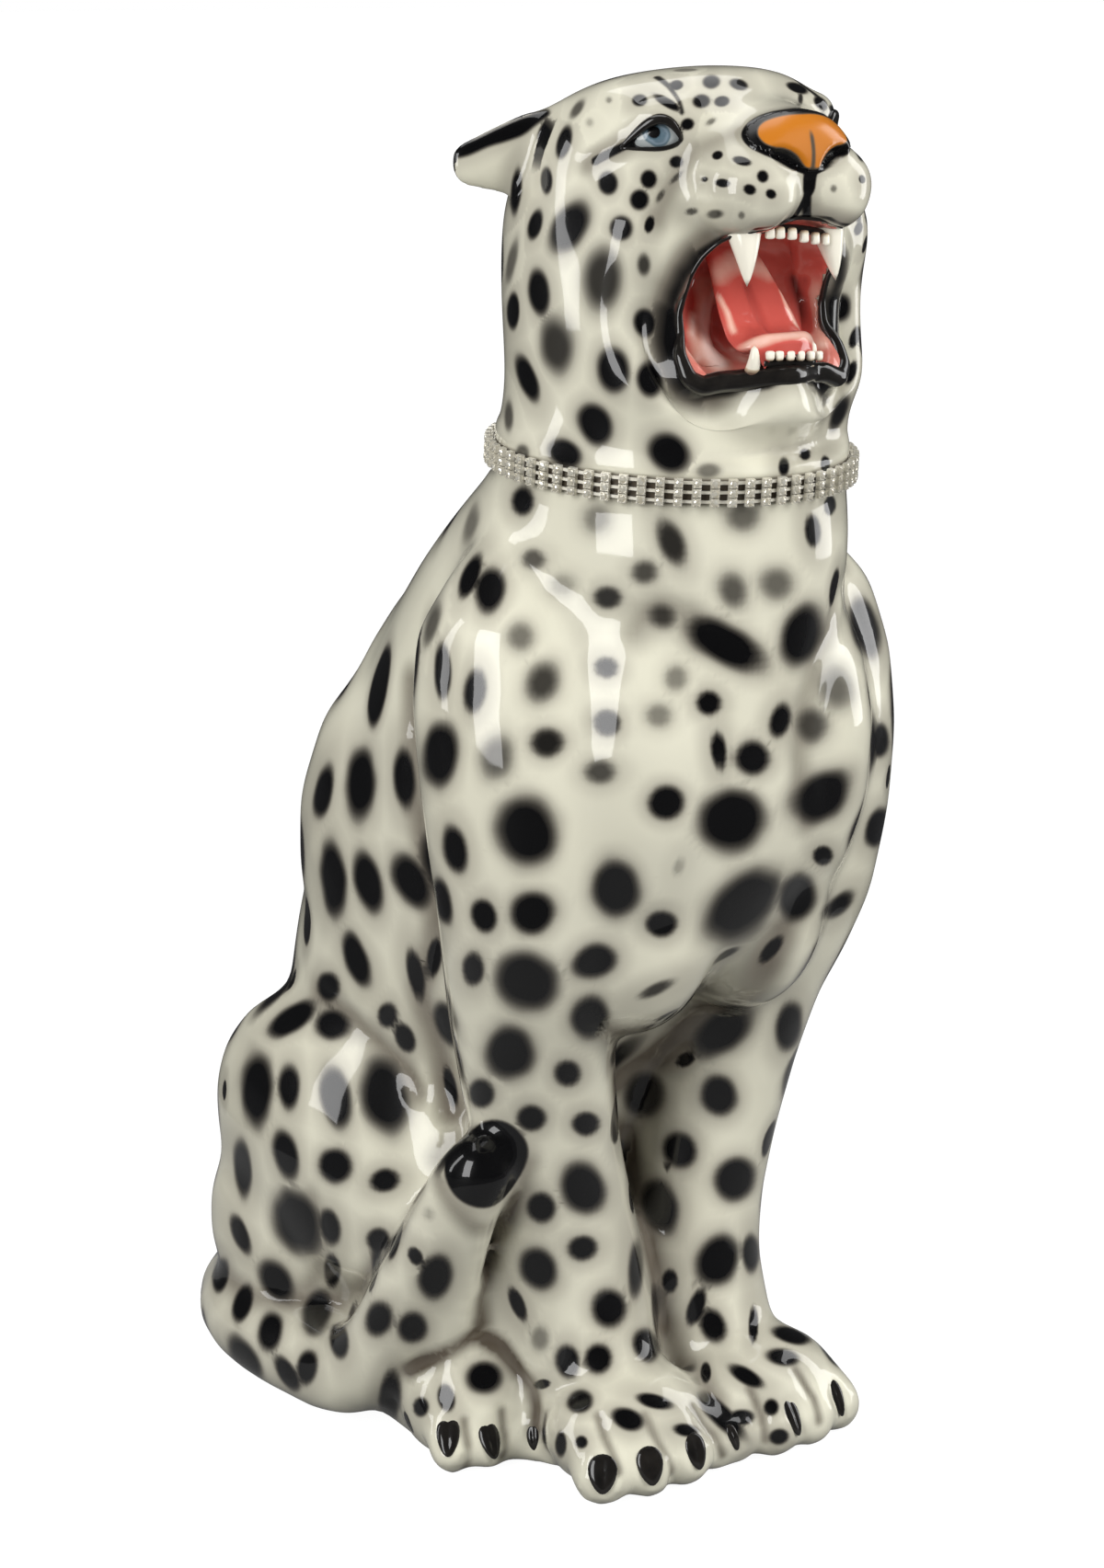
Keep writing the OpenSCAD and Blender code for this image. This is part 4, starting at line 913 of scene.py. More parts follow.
class STATUE_OT_body(bpy.types.Operator):
    """Torso, legs and tail as one smooth casting with folds, toes and airbrushed spots"""

    bl_idname = "statue.body"
    bl_label = "Body casting"

    def execute(self, context):
        sizes, colours = context.scene.statue_sizes, context.scene.statue_finish
        nodes = ("torso_shell", "right_foreleg", "left_foreleg", "right_hind_leg", "left_hind_leg", "tail")
        plugs = ((Matrix.Translation(POUR_AT), POUR_R, POUR_DEEP),
                 (seam_frame() @ Matrix.Translation((0, 0, 1 * MM)), NECK_R - PLUG_GAP, PLUG_DEEP))
        skin = Skin(cast(nodes, plugs, sizes.body_grain, LIMB_CLAY))
        low = ease(skin.co[:, 2], *FEET)
        skin.smooth(18, 0.2 + 0.8 * low)
        skin.store()
        skin.smooth(40, 1 - ease(path_distance(skin.co, skin.trace(TAIL_CREASE)), 5 * MM, 15 * MM))
        skin.store()
        skin.press(BODY_FOLDS)
        skin.smooth(3, low)
        skin.store()
        skin = Skin(finer(skin.mesh, (skin.co[:, 2] < PAW_TOP) & (skin.co[:, 1] < PAW_BACK)))
        skin.smooth(2)
        skin.store()
        self.toes(skin)
        round_neck(skin)
        skin.co[:, 2] = np.maximum(skin.co[:, 2], 0)
        skin.store()
        self.paint(skin, sizes)
        shade_neck(skin)
        mesh = cut_at_seam(skin.finish(), False)
        new_piece("body_casting", mesh, glazed_earthenware(colours), "root", "glazed_ceramic", *nodes)
        WORK["body"] = skin
        return {"FINISHED"}

    def toes(self, skin):
        """Grooves between the toes, and the hooded bed of each claw."""
        grooves = [skin.trace(pixels) for pixels in TOE_GROOVES]
        beds = []
        for x, y, short, long, lean in CLAWS:
            turn, steps = math.radians(lean), [math.tau * i / 16 for i in range(17)]
            rim = [(0.64 * short * math.cos(a), 0.60 * long * math.sin(a)) for a in steps]
            cos, sin = math.cos(turn), math.sin(turn)
            rim = [(x + r * cos + t * sin, y + r * sin - t * cos) for r, t in rim]
            beds.append((skin.hit(x, y), short * PIXEL, skin.trace(rim)))
        for path in grooves:
            skin.fold(path, 1.3 * MM, 8 * MM)
        for centre, wide, rim in beds:
            skin.fold(rim, -0.7 * MM, 4.5 * MM)
            skin.fold([centre, centre + (0, 0, 0.1 * MM)], 0.8 * MM, wide)
        skin.smooth(4, 1 - ease(skin.co[:, 2], 40 * MM, 46 * MM))

    def paint(self, skin, sizes):
        """Spots, the black tail tip, and painted shade in folds, hollows, toe grooves and between the legs."""
        skin.photo_spots(BODY_SPOTS)

        def kind(p):
            if p[2] < PAWS_HIGH:
                return PAW_SPOTS
            return LEG_SPOTS if p[1] < LEGS_BACK and p[2] < LEGS_HIGH else BACK_SPOTS

        scatter(skin, skin.unseen() & (skin.co[:, 2] > SPOTS_FROM), kind, 2.0, 0.6, sizes.seed)
        tip = skin.trace(TAIL_TIP)
        if len(tip) == 2:
            away = np.linalg.norm(skin.co - np.mean(tip, 0), axis=1) / MM
            skin.paint(np.where(skin.co[:, 2] > TIP_ABOVE, TIP_R - away, OUTSIDE), 1.0, 1.2)
        # Painted shade: darker in the hollows, along the toe grooves and folds, and on the legs' inner sides.
        deep = hollows(skin, 45)
        for pixels in TOE_GROOVES:
            skin.shade(skin.trace(pixels), 0.6, 4)
        for strength, reach, pixels in SHADES:
            skin.shade(skin.trace(pixels), strength, reach)
        x, y, z = skin.co.T
        inner = (1 - ease(np.abs(x + 4 * MM), 18 * MM, 38 * MM)) * (1 - ease(z, 190 * MM, 260 * MM))
        inner *= ease(z, 30 * MM, 90 * MM) * (1 - ease(y, -60 * MM, 10 * MM))
        skin.painted_shade = np.clip(skin.painted_shade + ease(deep, 0.3, 4.5) * 0.5 + 0.22 * inner, 0, 0.95)


class STATUE_OT_head(bpy.types.Operator):
    """Head and ears as one casting with the open mouth, its brow, muzzle and cheeks, and its painted face"""

    bl_idname = "statue.head"
    bl_label = "Head casting"

    def execute(self, context):
        sizes, colours = context.scene.statue_sizes, context.scene.statue_finish
        nodes = ("head_shell", "right_ear", "left_ear")
        plug = (seam_frame() @ Matrix.Translation((0, 0, -1 * MM)), NECK_R - PLUG_GAP, PLUG_DEEP)
        skin = Skin(cast(nodes + ("mouth_lining",), (plug,), sizes.head_grain))
        rim = mouth_rim(skin)
        away = np.sqrt(np.min([((skin.co - p) ** 2).sum(1) for p in rim[::20]], 0))
        skin.smooth(22)
        ears = ease(np.abs(skin.co[:, 0]), *EAR_OUT) * ease(skin.co[:, 2], *EAR_UP)
        skin.smooth(140, ease(away, 8 * MM, 22 * MM) * (1 - ears))
        round_neck(skin)
        skin.store()
        lips = lip_line(skin, 0)
        rim = mouth_rim(skin)
        handles = [rim[nearest(rim, p)] for p in lips]
        lips = lip_line(skin, 1)
        skin.warp(handles, lips, 10.5 * MM)
        skin.store()
        lips = skin.laid(lips)
        skin.press(HEAD_FOLDS)
        skin.smooth(26, ease(path_distance(skin.co, lips + lips[:1]), 1.5 * MM, 8 * MM))
        skin.store()
        for corners, depth, soft in PRESSED:
            skin.co -= skin.normal * (ease(skin.stencil(corners), -soft, soft) * depth * MM)[:, None]
        skin.smooth(1)
        round_neck(skin)
        skin.store()
        lips = skin.laid(lips)
        inside = mouth_inside(skin, lips)
        self.paint(skin, lips, inside, sizes)
        shade_neck(skin)
        WORK["head"], WORK["lips"], WORK["inside"] = skin, lips, inside
        mesh = cut_at_seam(skin.finish().copy(), True)
        new_piece("head_casting", mesh, glazed_earthenware(colours), "root", "glazed_ceramic", *nodes)
        return {"FINISHED"}

    def paint(self, skin, lips, inside, sizes):
        """Spots, the black of lips, ears and eyes, and painted shade in hollows, round the lips and in creases."""
        skin.photo_spots(HEAD_SPOTS)
        unseen = skin.unseen()
        for x, y, short, long, turn, ink in spots(HEAD_SPOTS):
            centre = skin.hit(x, y)
            tip = skin.hit(x + 0.4 * long * math.sin(turn), y - 0.4 * long * math.cos(turn))
            if centre is None or tip is None:
                continue
            twin, twin_tip = skin.mirrored((centre, tip))
            if unseen[nearest(skin.co, twin)]:
                skin.oval(twin, twin_tip - twin + 1e-6, long * PIXEL / 2, short * PIXEL / 2, ink, 0.5 + 0.045 * short)
        behind = unseen & (skin.co[:, 1] > NAPE_FROM)
        scatter(skin, behind, lambda p: NAPE_SPOTS, 1.8, 0.4, sizes.seed + 1)
        for width, soft, ink, pixels in FACE_LINES:
            path = skin.trace(pixels)
            skin.line(path, width, ink, soft)
            skin.line(skin.mirrored(path), width, ink, soft)
        for corners, soft in BLACKED:
            skin.paint(skin.stencil(corners), 1.0, soft)
        ear = np.minimum((skin.normal[:, 1] - EAR_BEHIND) * 9, (np.abs(skin.co[:, 0]) - EAR_TIP) / MM)
        skin.paint(np.where(skin.co[:, 2] > EAR_UP[1], ear, OUTSIDE), 1.0, 2.2)
        skin.edge[inside], skin.ink[inside] = OUTSIDE, 0
        # Painted shade: darker in the hollows, round the lips, along the face's creases and under the chin.
        deep = hollows(skin, 80)
        skin.painted_shade = np.clip(ease(deep, 0.5, 5) * 0.5, 0, 1)
        skin.shade(lips + lips[:1], 0.25, 12, 3)
        for strength, reach, pixels in FACE_SHADES:
            skin.shade(skin.trace(pixels), strength, reach)


def mouth_inside(skin, lips):
    """The points of the mouth's hollow: all that is reached from its back without crossing the lips."""
    wall = path_distance(skin.co, lips + lips[:1]) < LIP_WALL
    reached = np.zeros(len(skin.co), bool)
    reached[nearest(skin.co, MOUTH_AT + (0, MOUTH_HALF[1], 0))] = True
    count = 0
    while reached.sum() > count:
        count = reached.sum()
        reached = skin.spread(reached) & ~wall
    if count > 0.3 * len(reached):
        raise RuntimeError("the lips don't close the mouth")
    return skin.spread(skin.spread(reached))


def mouth_rim(skin):
    """Points along the edge of the hollow that the CAD mouth leaves in the casting."""
    offset = (skin.co - MOUTH_AT) / (MOUTH_HALF + MOUTH_SLACK)
    inward = np.einsum("ij,ij->i", MOUTH_AT - skin.co, skin.normal) > 0
    inside = ((offset ** 2).sum(1) < 1) & inward
    crossing = inside[skin.a] != inside[skin.b]
    return (skin.co[skin.a[crossing]] + skin.co[skin.b[crossing]]) / 2


def at_depth(x, y, like):
    """The point under a pixel that is as far from the camera as another point."""
    line = sight_line(x, y)
    return EYE_POINT + line * ((like - EYE_POINT) @ LOOK) / (line @ LOOK)


def at_front(x, y, front):
    """The point under a pixel that lies at a distance along Y."""
    line = sight_line(x, y)
    return EYE_POINT + line * (front - EYE_POINT[1]) / line[1]


def lip_line(skin, share):
    """The lips' closed line: the near half as photographed, and its mirror image. share is how much of the way its
    corners are drawn back along the sight line."""
    rim = mouth_rim(skin)
    rim_x, rim_y = on_photo(rim)
    near = []
    for x, y, _, back in LIPS:
        close = np.hypot(rim_x - x, rim_y - y) + np.where(rim[:, 0] > 6 * MM, 400, 0)
        near.append(at_depth(x, y, rim[np.argmin(close)]) + sight_line(x, y) * back * share * MM)
    near[0][0] = near[-1][0] = 0
    far = [p * MIRROR for p in near[-2:0:-1]]
    return near + far


def tube(path, radii, closed=False):
    """A round tube of changing radius along a path."""
    curve = bpy.data.curves.new("tube", "CURVE")
    curve.dimensions, curve.bevel_depth, curve.bevel_resolution = "3D", 1.0, 5
    curve.resolution_u, curve.use_fill_caps = 5, True
    spline = curve.splines.new("NURBS")
    spline.points.add(len(path) - 1)
    for point, place, radius in zip(spline.points, path, radii):
        point.co, point.radius = (*place, 1), radius
    spline.order_u, spline.use_cyclic_u, spline.use_endpoint_u = 4, closed, not closed
    bm = bmesh_of(evaluated(placed("tube", curve)))
    bmesh.ops.remove_doubles(bm, verts=bm.verts[:], dist=1e-6)
    bmesh.ops.recalc_face_normals(bm, faces=bm.faces[:])
    return mesh_of(bm)


def joined(meshes):
    """Several meshes as one."""
    return mesh_of(bmesh_of(*meshes))


def mirrored_mesh(mesh):
    """A mesh and its mirror image on the animal's other side."""
    bm = bmesh_of(mesh)
    twin = bmesh.ops.duplicate(bm, geom=bm.verts[:] + bm.edges[:] + bm.faces[:])["geom"]
    verts = [g for g in twin if isinstance(g, bmesh.types.BMVert)]
    faces = [g for g in twin if isinstance(g, bmesh.types.BMFace)]
    bmesh.ops.scale(bm, vec=MIRROR, verts=verts)
    bmesh.ops.reverse_faces(bm, faces=faces)
    return mesh_of(bm)


def set_layer(mesh, name, values):
    """Stores one painted value for each point of a mesh."""
    layer = mesh.attributes.new(name, "FLOAT", "POINT")
    layer.data.foreach_set("value", np.asarray(values, np.float32))


def points_of(mesh):
    """A mesh's points as an array."""
    flat = np.empty(len(mesh.vertices) * 3, np.float32)
    mesh.vertices.foreach_get("co", flat)
    return flat.reshape(-1, 3).astype(float)


class STATUE_OT_eyes(bpy.types.Operator):
    """Bulging eyes with iris and pupil, and black lids round them"""

    bl_idname = "statue.eyes"
    bl_label = "Eyes"

    def execute(self, context):
        sizes, colours = context.scene.statue_sizes, context.scene.statue_finish
        skin = WORK["head"]
        ring = np.array(skin.trace(EYE_BLACK))
        normal = np.linalg.svd(ring - ring.mean(0))[2][2]
        normal *= np.sign(normal @ (EYE_POINT - ring[0]))
        centre, inner, outer = (at_depth(*pixel, ring.mean(0)) for pixel in (EYE_MIDDLE, EYE_INNER, EYE_OUTER))
        along = inner - outer
        along -= normal * (along @ normal)
        along /= np.linalg.norm(along)
        place = Matrix((along, np.cross(normal, along), normal)).transposed().to_4x4()
        place.translation = Vector(centre - normal * EYE_SUNK)
        bm = bmesh.new()
        bmesh.ops.create_uvsphere(bm, u_segments=64, v_segments=32, radius=1)
        bmesh.ops.scale(bm, vec=EYE_HALF, verts=bm.verts[:])
        bmesh.ops.transform(bm, matrix=place, verts=bm.verts[:])
        bmesh.ops.recalc_face_normals(bm, faces=bm.faces[:])
        ball = mesh_of(bm)
        u, v = on_photo(points_of(ball))
        iris = np.hypot(u - IRIS_MIDDLE[0], v - IRIS_MIDDLE[1]) * PIXEL / (sizes.iris / 2)
        pupil = np.hypot(u - PUPIL_MIDDLE[0], v - PUPIL_MIDDLE[1]) * PIXEL / (sizes.iris / 4)
        set_layer(ball, "iris", np.minimum(np.clip(iris / 2, 0.3, 1), np.clip(pupil / 4, 0, 1)))
        glaze = painted_glaze("glazed_eye", "iris", (
            (0.0, colours.black), (0.23, colours.black), (0.28, colours.iris_inside), (0.36, colours.iris),
            (0.46, colours.iris_rim), (0.53, colours.eye_white)))
        new_piece("eyes", mirrored_mesh(ball), glaze, "root", "eye_glaze", "right_eye", "left_eye")
        lids = []
        for pixels, radii in EYE_LIDS:
            path = [skin.hit(x, y) for x, y in pixels]
            lids.append(tube(path, [r * MM for r in radii]))
        new_piece("eyelids", mirrored_mesh(joined(lids)), black_glaze(colours), "root", "glazed_ceramic")
        return {"FINISHED"}


class STATUE_OT_nose(bpy.types.Operator):
    """Orange nose with black wings and pressed nostrils, a thin layer on the head casting"""

    bl_idname = "statue.nose"
    bl_label = "Nose"

    def execute(self, context):
        colours = context.scene.statue_finish
        head = WORK["head"]
        bm = patch_of(head.mesh, head.stencil(NOSE_BLACK) > 1.0)
        bmesh.ops.subdivide_edges(bm, edges=bm.edges[:], cuts=1, use_grid_fill=True, smooth=1.0)
        raise_skin(bm, lambda co: 0.5 * MM)
        thicken(bm, LAYER)
        skin = Skin(mesh_of(bm))
        tone = ease(np.minimum(skin.stencil(NOSE_ORANGE), -skin.stencil(NOSTRIL)), -1.3, 1.3)
        groove = np.exp(-(skin.co[:, 0] / (1.5 * MM)) ** 2) * (1 - ease(skin.co[:, 2], 574 * MM, 580 * MM))
        set_layer(skin.mesh, "nose_paint", tone * (1 - 0.55 * groove))
        glaze = painted_glaze("glazed_nose", "nose_paint", (
            (0.0, colours.black), (0.2, colours.black), (0.5, colours.nose_edge), (0.8, colours.orange),
            (1.0, colours.orange)), 0.25)
        new_piece("nose", skin.shaded(), glaze, "root", "nose_glaze", "nose_pad")
        return {"FINISHED"}


def patch_of(mesh, chosen):
    """A bmesh of the faces whose points are all chosen."""
    bm = bmesh_of(mesh)
    rest = [f for f in bm.faces if not all(chosen[v.index] for v in f.verts)]
    bmesh.ops.delete(bm, geom=rest, context="FACES")
    for layer in list(bm.verts.layers.float.values()):
        bm.verts.layers.float.remove(layer)
    return bm


def raise_skin(bm, height):
    """Lifts each point off the surface by a height that depends on its place."""
    bm.normal_update()
    lifted = [v.co + v.normal * height(v.co) for v in bm.verts]
    for vert, place in zip(bm.verts, lifted):
        vert.co = place


def thicken(bm, depth):
    """Gives a surface a thickness, inwards from the side that shows."""
    bm.normal_update()
    outward = bm.verts.layers.float_vector.new("outward")
    for vert in bm.verts:
        vert[outward] = vert.normal
    made = bmesh.ops.extrude_face_region(bm, geom=bm.faces[:])["geom"]
    for vert in made:
        if isinstance(vert, bmesh.types.BMVert):
            vert.co -= vert[outward] * depth
    bm.verts.layers.float_vector.remove(outward)
    bmesh.ops.recalc_face_normals(bm, faces=bm.faces[:])


class STATUE_OT_mouth(bpy.types.Operator):
    """Lining of the mouth with its folds, black lips and gums, and the tongue"""

    bl_idname = "statue.mouth"
    bl_label = "Mouth"

    def execute(self, context):
        colours = context.scene.statue_finish
        loop = WORK["lips"] + WORK["lips"][:1]
        bm = patch_of(WORK["head"].mesh, WORK["inside"])
        raise_skin(bm, lambda co: (0.5 + 2.0 * ease(path_distance(np.array([co]), loop)[0], 3 * MM, 14 * MM)) * MM)
        lining = Skin(mesh_of(bm))
        tongue = Skin(self.tongue())
        # Painted shade: the lining is painted darker towards the throat. The strokes then add painted highlights on
        # ridges and painted shade in creases, and raise the ridges.
        back = ease(-lining.co[:, 1], 122 * MM, 150 * MM)
        light = [np.full(len(lining.co), 0.7) * (0.78 + 0.22 * back), np.full(len(tongue.co), 0.5)]
        strokes = [(*stroke, self.trace(lining, tongue, pixels)) for *stroke, pixels in FLESH]
        for tone, width, soft, height, path in strokes:
            for side in (path, [p * MIRROR for p in path]):
                for skin, values in zip((lining, tongue), light):
                    away = path_distance(skin.co, side) / MM
                    share = 1 - ease(away, max(width / 2 - soft, 0), width / 2 + soft)
                    values += share * (tone - values)
                    skin.co += skin.normal * (height * MM * np.exp(-(away / (width / 2 + 0.6)) ** 2))[:, None]
        for skin, values in zip((lining, tongue), light):
            skin.store()
            set_layer(skin.mesh, "flesh", np.clip(values, 0, 1))
        flesh = painted_glaze("glazed_flesh", "flesh", (
            (0.0, colours.black), (0.14, colours.throat), (0.4, colours.flesh), (0.62, colours.rose),
            (0.88, colours.pink), (1.0, colours.flesh_pale)))
        bm = bmesh_of(lining.mesh)
        thicken(bm, LAYER)
        new_piece("mouth_cup", mesh_of(bm), flesh, "root", "mouth_glaze", "mouth_lining")
        new_piece("tongue_roll", tongue.shaded(), flesh, "root", "mouth_glaze", "tongue")
        radii = [r * MM for _, _, r, _ in LIPS]
        radii += radii[-2:0:-1]
        path, thick = [], []
        for here, there, r, s in zip(loop, loop[1:], radii, radii[1:] + radii[:1]):
            path += [here, (here + there) / 2]
            thick += [r, (r + s) / 2]
        tubes = [tube(path, thick, closed=True)]
        for node, rows in zip(("upper_incisors", "lower_incisors"), GUMS):
            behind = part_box(node)[1][1] + 1.5 * MM
            tubes.append(tube([at_front(x, y, behind) for x, y, _ in rows], [r * MM for _, _, r in rows]))
        new_piece("lips_and_gums", joined(tubes), black_glaze(colours), "root", "mouth_glaze")
        return {"FINISHED"}

    def tongue(self):
        """The tongue: a cupped slab with rounded sides that rises to the throat behind a thick front roll."""
        bm = bmesh.new()
        bmesh.ops.create_grid(bm, x_segments=48, y_segments=48, size=1)
        along = np.linspace(0, 1, len(TONGUE))
        for vert in bm.verts:
            side, way = vert.co.x, (vert.co.y + 1) / 2
            y, z, half = (np.interp(way, along, column) for column in zip(*TONGUE))
            edge = max(abs(side) - 0.5, 0) / 0.5
            rise = 3.0 * side * side * ease(way, 0.35, 0.6) - 8.0 * (1 - math.sqrt(1 - 0.98 * edge * edge))
            curl = 4.0 * side * side * (1 - ease(way, 0.1, 0.4))
            vert.co = Vector((side * half, y + curl, z + rise)) * MM
        for _ in range(6):
            bmesh.ops.smooth_vert(bm, verts=bm.verts[:], factor=0.5, use_axis_x=True, use_axis_y=True,
                                  use_axis_z=True)
        bmesh.ops.recalc_face_normals(bm, faces=bm.faces[:])
        bm.normal_update()
        if sum(f.normal.z for f in bm.faces) < 0:
            bmesh.ops.reverse_faces(bm, faces=bm.faces[:])
        thicken(bm, 5 * MM)
        return mesh_of(bm)

    def trace(self, lining, tongue, pixels):
        """The points of lining or tongue, whichever lies in front, under a line of pixels."""
        path = []
        for x, y in pixels:
            line = sight_line(x, y)
            found = [skin.tree.ray_cast(EYE_POINT, line) for skin in (lining, tongue)]
            found = [(far, np.array(place)) for place, _, _, far in found if place is not None]
            if found:
                path.append(min(found, key=lambda f: f[0])[1])
        return path or [MOUTH_AT + 1]


class STATUE_OT_teeth(bpy.types.Operator):
    """Canines and incisors"""

    bl_idname = "statue.teeth"
    bl_label = "Teeth"

    def execute(self, context):
        colours = context.scene.statue_finish
        ivory = painted_glaze("glazed_tooth", "root_shade", (
            (0.0, colours.tooth), (0.6, colours.tooth), (0.85, colours.tooth_root), (1.0, colours.tooth_stain)))
        for name, node, root, tip, width, blunt, root_back, tip_back in CANINES:
            ends = WORK["lips"][CANINE_LIPS] if node.startswith("lower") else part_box(node)
            like = np.mean(ends, axis=0)
            root = at_depth(*root, like + LOOK * root_back * MM)
            mesh = self.canine(root, at_depth(*tip, like + LOOK * tip_back * MM), width * MM, blunt)
            nodes = (node, node.replace("right", "left"))
            new_piece(name, mirrored_mesh(mesh), ivory, "root", "tooth_glaze", *nodes)
        for node, (width, tall, thick), pixels in INCISORS:
            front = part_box(node)[0][1] + thick / 2 * MM + 0.4 * MM
            teeth = []
            for x, y in pixels:
                place = at_front(x, y, front + 0.12 * abs(at_front(x, y, front)[0]))
                teeth.append(self.incisor(place, (width, thick, tall), 1 if node.startswith("upper") else -1))
            new_piece(node + "_row", joined(teeth), ivory, "root", "tooth_glaze", node)
        return {"FINISHED"}

    def canine(self, root, tip, width, blunt):
        """One long tooth, thick at the root and a little hooked."""
        bm = bmesh.new()
        shares = [i / 10 for i in range(11)]
        verts = [bm.verts.new((width / 2 * max(1 - t, 0) ** blunt, 0, t)) for t in shares]
        edges = [bm.edges.new(pair) for pair in zip(verts, verts[1:])]
        bmesh.ops.spin(bm, geom=verts + edges, cent=(0, 0, 0), axis=(0, 0, 1), angle=math.tau, steps=24,
                       use_merge=True)
        bmesh.ops.remove_doubles(bm, verts=bm.verts[:], dist=1e-5)
        bmesh.ops.holes_fill(bm, edges=bm.edges[:], sides=40)
        bmesh.ops.recalc_face_normals(bm, faces=bm.faces[:])
        length = np.linalg.norm(tip - root)
        turn = Vector((0, 0, 1)).rotation_difference(Vector(tip - root))
        for vert in bm.verts:
            share = vert.co.z
            vert.co = Vector((vert.co.x, vert.co.y, share * length))
            vert.co = turn @ vert.co + Vector(root) + Vector((0, -2.2 * MM * (share - share * share) * 2, 0))
        mesh = mesh_of(bm)
        along = (points_of(mesh) - root) @ (tip - root) / length ** 2
        # Painted shade, darker towards the root, where the tooth enters the gum.
        set_layer(mesh, "root_shade", 1 - ease(along, 0.15, 0.45))
        return mesh

    def incisor(self, place, size, up):
        """One small front tooth with rounded edges."""
        bm = bmesh.new()
        bmesh.ops.create_cube(bm, size=1)
        bmesh.ops.subdivide_edges(bm, edges=bm.edges[:], cuts=1, use_grid_fill=True)
        bmesh.ops.scale(bm, vec=[v * MM for v in size], verts=bm.verts[:])
        bmesh.ops.bevel(bm, geom=[e for e in bm.edges if e.calc_face_angle(0) > 0.5], offset=min(size) * 0.36 * MM,
                        affect="EDGES", segments=3, profile=0.5, material=-1)
        for vert in bm.verts:
            vert.co.x *= 1 - 0.12 * up * vert.co.z / (size[2] / 2 * MM)
        # Painted shade, darker towards the gum.
        shade = [0.5 + up * v.co.z / (size[2] * MM) for v in bm.verts]
        turn = Matrix.Rotation(math.atan2(place[0], -(place[1] + 130 * MM)), 4, "Z")
        bmesh.ops.transform(bm, matrix=Matrix.Translation(place) @ turn, verts=bm.verts[:])
        mesh = mesh_of(bm)
        set_layer(mesh, "root_shade", np.clip(np.array(shade) * 1.1 - 0.1, 0, 1))
        return mesh


class STATUE_OT_claws(bpy.types.Operator):
    """Black claws on the toes"""

    bl_idname = "statue.claws"
    bl_label = "Claws"

    def execute(self, context):
        colours = context.scene.statue_finish
        skin = WORK["body"]
        claws, hind = [], []
        for x, y, short, long, lean in CLAWS:
            centre = skin.hit(x, y)
            turn = math.radians(lean)
            step = 0.3 * long
            top = skin.hit(x + step * math.sin(turn), y - step * math.cos(turn))
            foot = skin.hit(x - step * math.sin(turn), y + step * math.cos(turn))
            normal = np.array(skin.tree.find_nearest(Vector(centre))[1])
            along = top - foot
            along -= normal * (along @ normal)
            along /= np.linalg.norm(along)
            across = np.cross(along, normal)
            mesh = self.claw(centre, across, along, normal, short * PIXEL / 2, long * PIXEL / 2)
            (hind if x < HIND_PAW else claws).append(mesh)
        new_piece("front_claws", joined(claws), black_glaze(colours), "root", "glazed_ceramic")
        new_piece("hind_claws", mirrored_mesh(joined(hind)), black_glaze(colours), "root", "glazed_ceramic")
        return {"FINISHED"}

    def claw(self, centre, across, along, normal, half_short, half_long):
        """One claw: a pointed oval pressed into the toe."""
        bm = bmesh.new()
        bmesh.ops.create_uvsphere(bm, u_segments=24, v_segments=14, radius=1)
        for vert in bm.verts:
            vert.co.x *= 1 + 0.25 * vert.co.y
            vert.co.z *= 1 - 0.35 * math.exp(-(vert.co.x / 0.3) ** 2)
        bmesh.ops.scale(bm, vec=(half_short, half_long, 2.0 * MM), verts=bm.verts[:])
        place = Matrix((across, along, normal)).transposed().to_4x4()
        place.translation = Vector(centre - normal * 0.2 * MM)
        bmesh.ops.transform(bm, matrix=place, verts=bm.verts[:])
        bmesh.ops.recalc_face_normals(bm, faces=bm.faces[:])
        return mesh_of(bm)


def islands(node):
    """The middle of each separate solid of a CAD node."""
    bm = bmesh_of(frame["nodes"][node].data)
    bmesh.ops.remove_doubles(bm, verts=bm.verts[:], dist=1e-6)
    left, middles = set(bm.verts), []
    while left:
        start = left.pop()
        group, open_ends = [start], [start]
        while open_ends:
            for edge in open_ends.pop().link_edges:
                for vert in edge.verts:
                    if vert in left:
                        left.remove(vert)
                        group.append(vert)
                        open_ends.append(vert)
        middles.append(sum((v.co for v in group), Vector()) / len(group))
    bm.free()
    return sorted(middles, key=lambda p: tuple(p))


